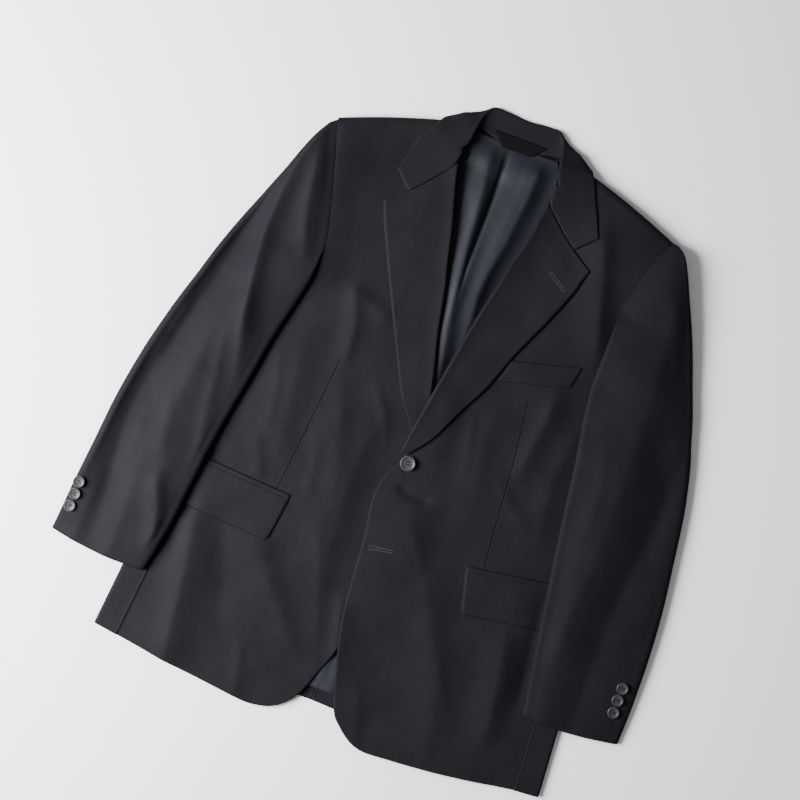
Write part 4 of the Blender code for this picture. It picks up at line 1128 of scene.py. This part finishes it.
for side, name in sideNames.items():
    cloth("back_" + name, backPanel(side), "back", wall["back"], ["floor"], facing=-1)
    cloth("side_" + name, sidePanel(side), "side", wall["back"], ["floor"], facing=-1,
          rounds=(1.5, 1.5, 1.5, 0.0), closer=False)
    cloth("front_" + name, frontPanel(side), "front", wall["front"], ["side_" + name],
          material="frontLeft" if side > 0 else "frontRight", rounds=(1.6, 0.0, 1.6, 1.2))
    cloth("lapel_" + name, lapelPanel(side), "lapel", wall["lapel"], ["front_" + name],
          centred=True, closer=False, rounds=(0.0, 1.6, 1.2, 1.2),
          rolled=dict(start=6, width=11, leftOnly=True))
print("body laid out")

cloth("back_lining", liningPanel, "lining", wall["lining"], ["back_right", "back_left"],
      slot="satin", facing=-1, material="satin", closer=False)
cloth("collar", collarPanel(), "collar", wall["collar"], ["lapel_right", "lapel_left"],
      centred=True, closer=False, rounds=(1.2, 1.5, 1.5, 1.5))
cloth("neck_label", labelPanel, "label", wall["label"], ["back_lining"], slot="label",
      facing=-1, material="woven", closer=False, rounds=(0.5, 0.5, 0.5, 0.5))
print("collar and lining laid out")

for side, name in sideNames.items():
    cloth("sleeve_under_" + name, sleeveUnderPanel(side), "sleeveUnder", wall["sleeve"],
          ["front_" + name], facing=-1)
    cloth("sleeve_top_" + name, sleeveTopPanel(side), "sleeveTop", wall["sleeve"],
          ["front_" + name], closer=False, rounds=(0.0, 0.0, 0.0, 1.2),
          rolled=dict(start=6, width=12, leftOnly=False))
print("sleeves laid out")

for side, name in sideNames.items():
    flap, jet = flapTable[side], (0.0, pocket["jetHeight"])
    over = (flap["corner"][0], flap["corner"][1] + pocket["jetGap"])
    flapShape = patchPanel(side, flap["corner"], flap["run"], flap["down"], pocket["flapRound"],
                           pocket["puff"])
    cloth("pocket_flap_" + name, flapShape, "flap", wall["flap"], ["front_" + name],
          facing=-1, drop=-0.7)
    cloth("pocket_jet_" + name, patchPanel(side, over, flap["run"], jet), "jet", wall["jet"],
          ["front_" + name], facing=-1, drop=-0.7)
cloth("breast_welt", patchPanel(leftSide, welt["corner"], welt["run"], welt["up"]), "welt",
      wall["welt"], ["front_left"], facing=-1, drop=-0.7)
print("pockets laid out")

cuffButton = dict(radius=7.7, height=3.0, rim=1.3, hole=0.8, pitch=1.5)
cuffButtonPlaces = {
    rightSide: [(-376.0, -220.5), (-376.0, -237.0), (-377.0, -253.5)],
    leftSide: [(369.0, -226.0), (368.5, -242.5), (369.0, -259.0)],
}
buttonForm = dict(well=1.15, sides=56, holeSides=16, sharpFrom=38.0)
strand = dict(radius=0.3, sides=7, apart=0.32, past=0.35)
sewing = dict(level=7.0, lift=0.3, tested=13)  # the higher the level, the flatter a button lies


def buttonMesh(name, size):  # turned disc with four holes
    radius, height, rim = size["radius"], size["height"], size["rim"]
    inner = radius - rim
    profile = [  # from the middle of the face, over the rim, to the middle of the back
        (0.0, height - 1.25), (inner - 2.3, height - buttonForm["well"]),
        (inner - 1.2, height - 0.85), (inner - 0.4, height - 0.25), (inner + 0.2, height),
        (radius - 0.9, height), (radius - 0.35, height - 0.3), (radius, height - 0.9),
        (radius - 0.25, height - 1.5), (radius - 1.0, 0.4), (radius - 2.2, 0.0), (0.0, 0.0)]
    bm = bmesh.new()
    verts = [bm.verts.new((r * mm, 0.0, z * mm)) for r, z in profile]
    edges = [bm.edges.new(pair) for pair in zip(verts, verts[1:])]
    bmesh.ops.spin(bm, geom=verts + edges, cent=(0, 0, 0), axis=(0, 0, 1), angle=2 * math.pi,
                   steps=buttonForm["sides"], use_merge=True)
    bmesh.ops.remove_doubles(bm, verts=bm.verts[:], dist=0.00001)
    bmesh.ops.recalc_face_normals(bm, faces=bm.faces[:])
    disc = addObject(name, meshFrom(bm, name, isSmooth=False))
    drill = bmesh.new()
    hole, pitch = size["hole"] * mm, size["pitch"] * mm
    for sx, sy in ((-1, -1), (-1, 1), (1, -1), (1, 1)):
        made = bmesh.ops.create_cone(drill, cap_ends=True, segments=buttonForm["holeSides"],
                                     radius1=hole, radius2=hole, depth=4 * height * mm)
        bmesh.ops.translate(drill, verts=made["verts"], vec=(sx * pitch, sy * pitch, 0))
    drills = addObject("drill", meshFrom(drill, "drill", isSmooth=False))
    cut = disc.modifiers.new("holes", "BOOLEAN")
    cut.operation, cut.solver, cut.object = "DIFFERENCE", "EXACT", drills
    bpy.context.view_layer.update()
    whole = disc.evaluated_get(bpy.context.evaluated_depsgraph_get())
    drilled = bpy.data.meshes.new_from_object(whole)
    for obj in (disc, drills):
        bpy.data.objects.remove(obj, do_unlink=True)
    drilled.shade_smooth()
    drilled.set_sharp_from_angle(angle=math.radians(buttonForm["sharpFrom"]))
    return drilled


def threadMesh(name, size):  # two bars of thread, each from hole to hole and down into them
    bm = bmesh.new()
    top = size["height"] - buttonForm["well"]
    reach = size["pitch"] + strand["past"]
    path = [(-reach, -1.2), (-reach + 0.1, -0.2), (-reach * 0.6, 0.22), (0.0, 0.36),
            (reach * 0.6, 0.22), (reach - 0.1, -0.2), (reach, -1.2)]
    for bar in (-1, 1):
        for share in (-1, 0, 1):
            y = bar * size["pitch"] + share * strand["apart"]
            ring = bmesh.ops.create_circle(bm, segments=strand["sides"],
                                           radius=strand["radius"] * mm)["verts"]
            bmesh.ops.rotate(bm, verts=ring, cent=(0, 0, 0),
                             matrix=Matrix.Rotation(math.pi / 2, 3, "Y"))
            edges = list({edge for vert in ring for edge in vert.link_edges})
            bmesh.ops.translate(bm, verts=ring,
                                vec=(path[0][0] * mm, y * mm, (top + path[0][1]) * mm))
            for (xa, za), (xb, zb) in zip(path, path[1:]):
                made = bmesh.ops.extrude_edge_only(bm, edges=edges)["geom"]
                fresh = [g for g in made if isinstance(g, bmesh.types.BMVert)]
                edges = [g for g in made if isinstance(g, bmesh.types.BMEdge)
                         and all(vert in fresh for vert in g.verts)]
                bmesh.ops.translate(bm, verts=fresh, vec=((xb - xa) * mm, 0.0, (zb - za) * mm))
    bmesh.ops.holes_fill(bm, edges=bm.edges[:])
    bmesh.ops.recalc_face_normals(bm, faces=bm.faces[:])
    return meshFrom(bm, name)


def sewButton(node, size, meshes, surface, place, turn):  # lifted clear of the cloth all round
    x, y = place
    step = size["radius"]
    centre = surface(x, y)
    slope = Vector((surface(x - step, y) - surface(x + step, y),
                    surface(x, y - step) - surface(x, y + step),
                    sewing["level"] * step)).normalized()
    ring = [surface(x + step * math.cos(a), y + step * math.sin(a)) - centre
            + (slope.x * math.cos(a) + slope.y * math.sin(a)) * step / slope.z
            for a in np.linspace(0, 2 * math.pi, sewing["tested"])]
    lift = max(0.0, max(ring)) + sewing["lift"]
    lay = (Matrix.Translation(Vector((x, y, centre + lift)) * mm)
           @ slope.to_track_quat("Z", "Y").to_matrix().to_4x4()
           @ Matrix.Rotation(math.radians(turn), 4, "Z"))
    for prefix, mesh, finish in zip(("disc_", "sewn_"), meshes, ("horn", "thread")):
        own = mesh.copy()
        own.transform(lay)
        own.materials.clear()
        obj = addObject(prefix + node, own, finish)
        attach(obj, "root")
        if prefix == "disc_":
            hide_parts(node)


bigButton = buttonMesh("disc_20", frontButton), threadMesh("sewn_20", frontButton)
smallButton = buttonMesh("disc_15", cuffButton), threadMesh("sewn_15", cuffButton)
for node, size, side, turn in (("button_front", frontButton, leftSide, 12.0),
                               ("button_front_lower", lowerButton, rightSide, 0.0)):
    sewButton(node, size, bigButton, lambda x, y: frontAt(side, x, y), size["at"], turn)
for side, name in sideNames.items():
    for k, place in enumerate(cuffButtonPlaces[side]):
        sewButton(f"button_cuff_{name}_{k + 1}", cuffButton, smallButton,
                  lambda x, y: sleeveHeight(side, x, y), place, side * 8.0 + 6.0 * k)
print("buttons sewn on")

# a buttonhole is a ring of small stitches round a slit, with a round eye where it has one; the slit
# and the eye are near-black pieces, painted shade in the cut
buttonholes = {
    "buttonhole_front": dict(start=(3.0, -168.5), end=(29.5, -164.5), eye=1.7, onLapel=False),
    "buttonhole_lapel": dict(start=(97.0, 240.0), end=(119.0, 225.0), eye=0.0, onLapel=True),
}
stitch = dict(length=1.9, width=0.62, height=0.5, pitch=0.78, slit=0.75, atEnds=6,
              eyeShare=0.8, eyeReach=1.8, slitWide=1.6, slitHigh=0.2, eyeLong=2.0, eyeWide=1.7,
              eyeHigh=0.24, eyeAt=0.2, above=0.12)

acrossLapel, downLapel = np.meshgrid(np.linspace(0.35, 1.0, 80), np.linspace(0.0, 0.5, 80))
lapelNet = lapelPanel(leftSide)(acrossLapel.ravel(), downLapel.ravel())


def lapelHeight(x, y):
    near = np.argsort(np.hypot(lapelNet[0] - x, lapelNet[1] - y))[:3]
    return float(lapelNet[2][near].mean()) + wall["lapel"] / 2


def stitchRing(length, eye):  # place along and beside the slit, and turn, of each stitch
    ring = []
    beside = stitch["slit"] + stitch["length"] / 2
    for k in range(int(length / stitch["pitch"]) + 1):
        run = k * stitch["pitch"]
        wide = beside + stitch["eyeShare"] * eye * math.exp(-(run / stitch["eyeReach"]) ** 2)
        ring += [(run, wide, math.pi / 2), (run, -wide, math.pi / 2)]
    for end, first, wide in ((0.0, math.pi / 2, beside + stitch["eyeShare"] * eye),
                             (length, -math.pi / 2, beside)):
        for k in range(1, stitch["atEnds"]):
            a = first + math.pi * k / stitch["atEnds"]
            ring.append((end + wide * math.cos(a), wide * math.sin(a), a))
    return ring


def buttonhole(name, hole):
    (x0, y0), (x1, y1) = hole["start"], hole["end"]
    length, eye = math.hypot(x1 - x0, y1 - y0), hole["eye"]
    ux, uy = (x1 - x0) / length, (y1 - y0) / length
    turn = math.atan2(uy, ux)
    purled = (stitch["length"], stitch["width"], stitch["height"])
    # painted shade: dark flat pieces laid along the slit and in the eye
    paintedSlitShades = [(length / 2, 0.0, 0.0, length, stitch["slit"] * stitch["slitWide"],
              stitch["slitHigh"])]
    if eye:
        paintedSlitShades.append((stitch["eyeAt"], 0.0, 0.0, stitch["eyeLong"] * eye,
                      stitch["eyeWide"] * eye, stitch["eyeHigh"]))
    stitches = [place + purled for place in stitchRing(length, eye)]
    for part, finish, shapes in (("_stitches", "purl_and_sheen", stitches), ("_slit", "slit", paintedSlitShades)):
        bm = bmesh.new()
        for s, d, a, long, wide, high in shapes:
            x, y = x0 + ux * s - uy * d, y0 + uy * s + ux * d
            z = lapelHeight(x, y) if hole["onLapel"] else frontAt(leftSide, x, y)
            made = bmesh.ops.create_uvsphere(bm, u_segments=8, v_segments=5,
                                             radius=0.5 * mm)["verts"]
            bmesh.ops.scale(bm, verts=made, vec=(long, wide, high))
            bmesh.ops.rotate(bm, verts=made, cent=(0, 0, 0),
                             matrix=Matrix.Rotation(turn + a, 3, "Z"))
            bmesh.ops.translate(bm, verts=made,
                                vec=(x * mm, y * mm, (z + stitch["above"]) * mm))
        obj = addObject(name + part, meshFrom(bm, name + part), finish)
        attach(obj, "root")


for name, hole in buttonholes.items():
    buttonhole(name, hole)
print("buttonholes worked")

# floor, light and camera, in metres
stage = dict(floor=(0.65, 0.628, 0.632, 1.0), floorRoughness=0.9, span=9.0,
             keyAt=(-1.34, -0.36, 0.95), keySize=1.1, keyPower=198.0,
             sky=(0.96, 0.97, 1.0, 1.0), ambient=0.45,
             cameraAt=(-0.028, 0.021, 1.612), turn=20.5, lens=56.1, sensor=36.0)

bm = bmesh.new()
bmesh.ops.create_grid(bm, x_segments=1, y_segments=1, size=stage["span"] / 2)
floor = addObject("floor", meshFrom(bm, "floor", isSmooth=False))
floorFinish = Finish("floor", stage["floorRoughness"])
floorFinish.put(floorFinish.shader.inputs["Base Color"], stage["floor"])
floor.data.materials.append(floorFinish.material)

world = bpy.data.worlds.new("studio")
world.use_nodes = True
sky = world.node_tree.nodes["Background"].inputs
sky["Color"].default_value = stage["sky"]
sky["Strength"].default_value = stage["ambient"]
bpy.context.scene.world = world

keyLight = bpy.data.lights.new("key", "AREA")
keyLight.shape = "DISK"
keyLight.size = stage["keySize"]
keyLight.energy = stage["keyPower"]
key = addObject("key", keyLight)
key.location = stage["keyAt"]
key.rotation_euler = Vector(stage["keyAt"]).to_track_quat("Z", "Y").to_euler()

lens = bpy.data.cameras.new("camera")
lens.lens, lens.sensor_width = stage["lens"], stage["sensor"]
camera = addObject("camera", lens)
camera.location = stage["cameraAt"]
camera.rotation_euler = (0.0, 0.0, math.radians(stage["turn"]))
bpy.context.scene.camera = camera
print("stage set")
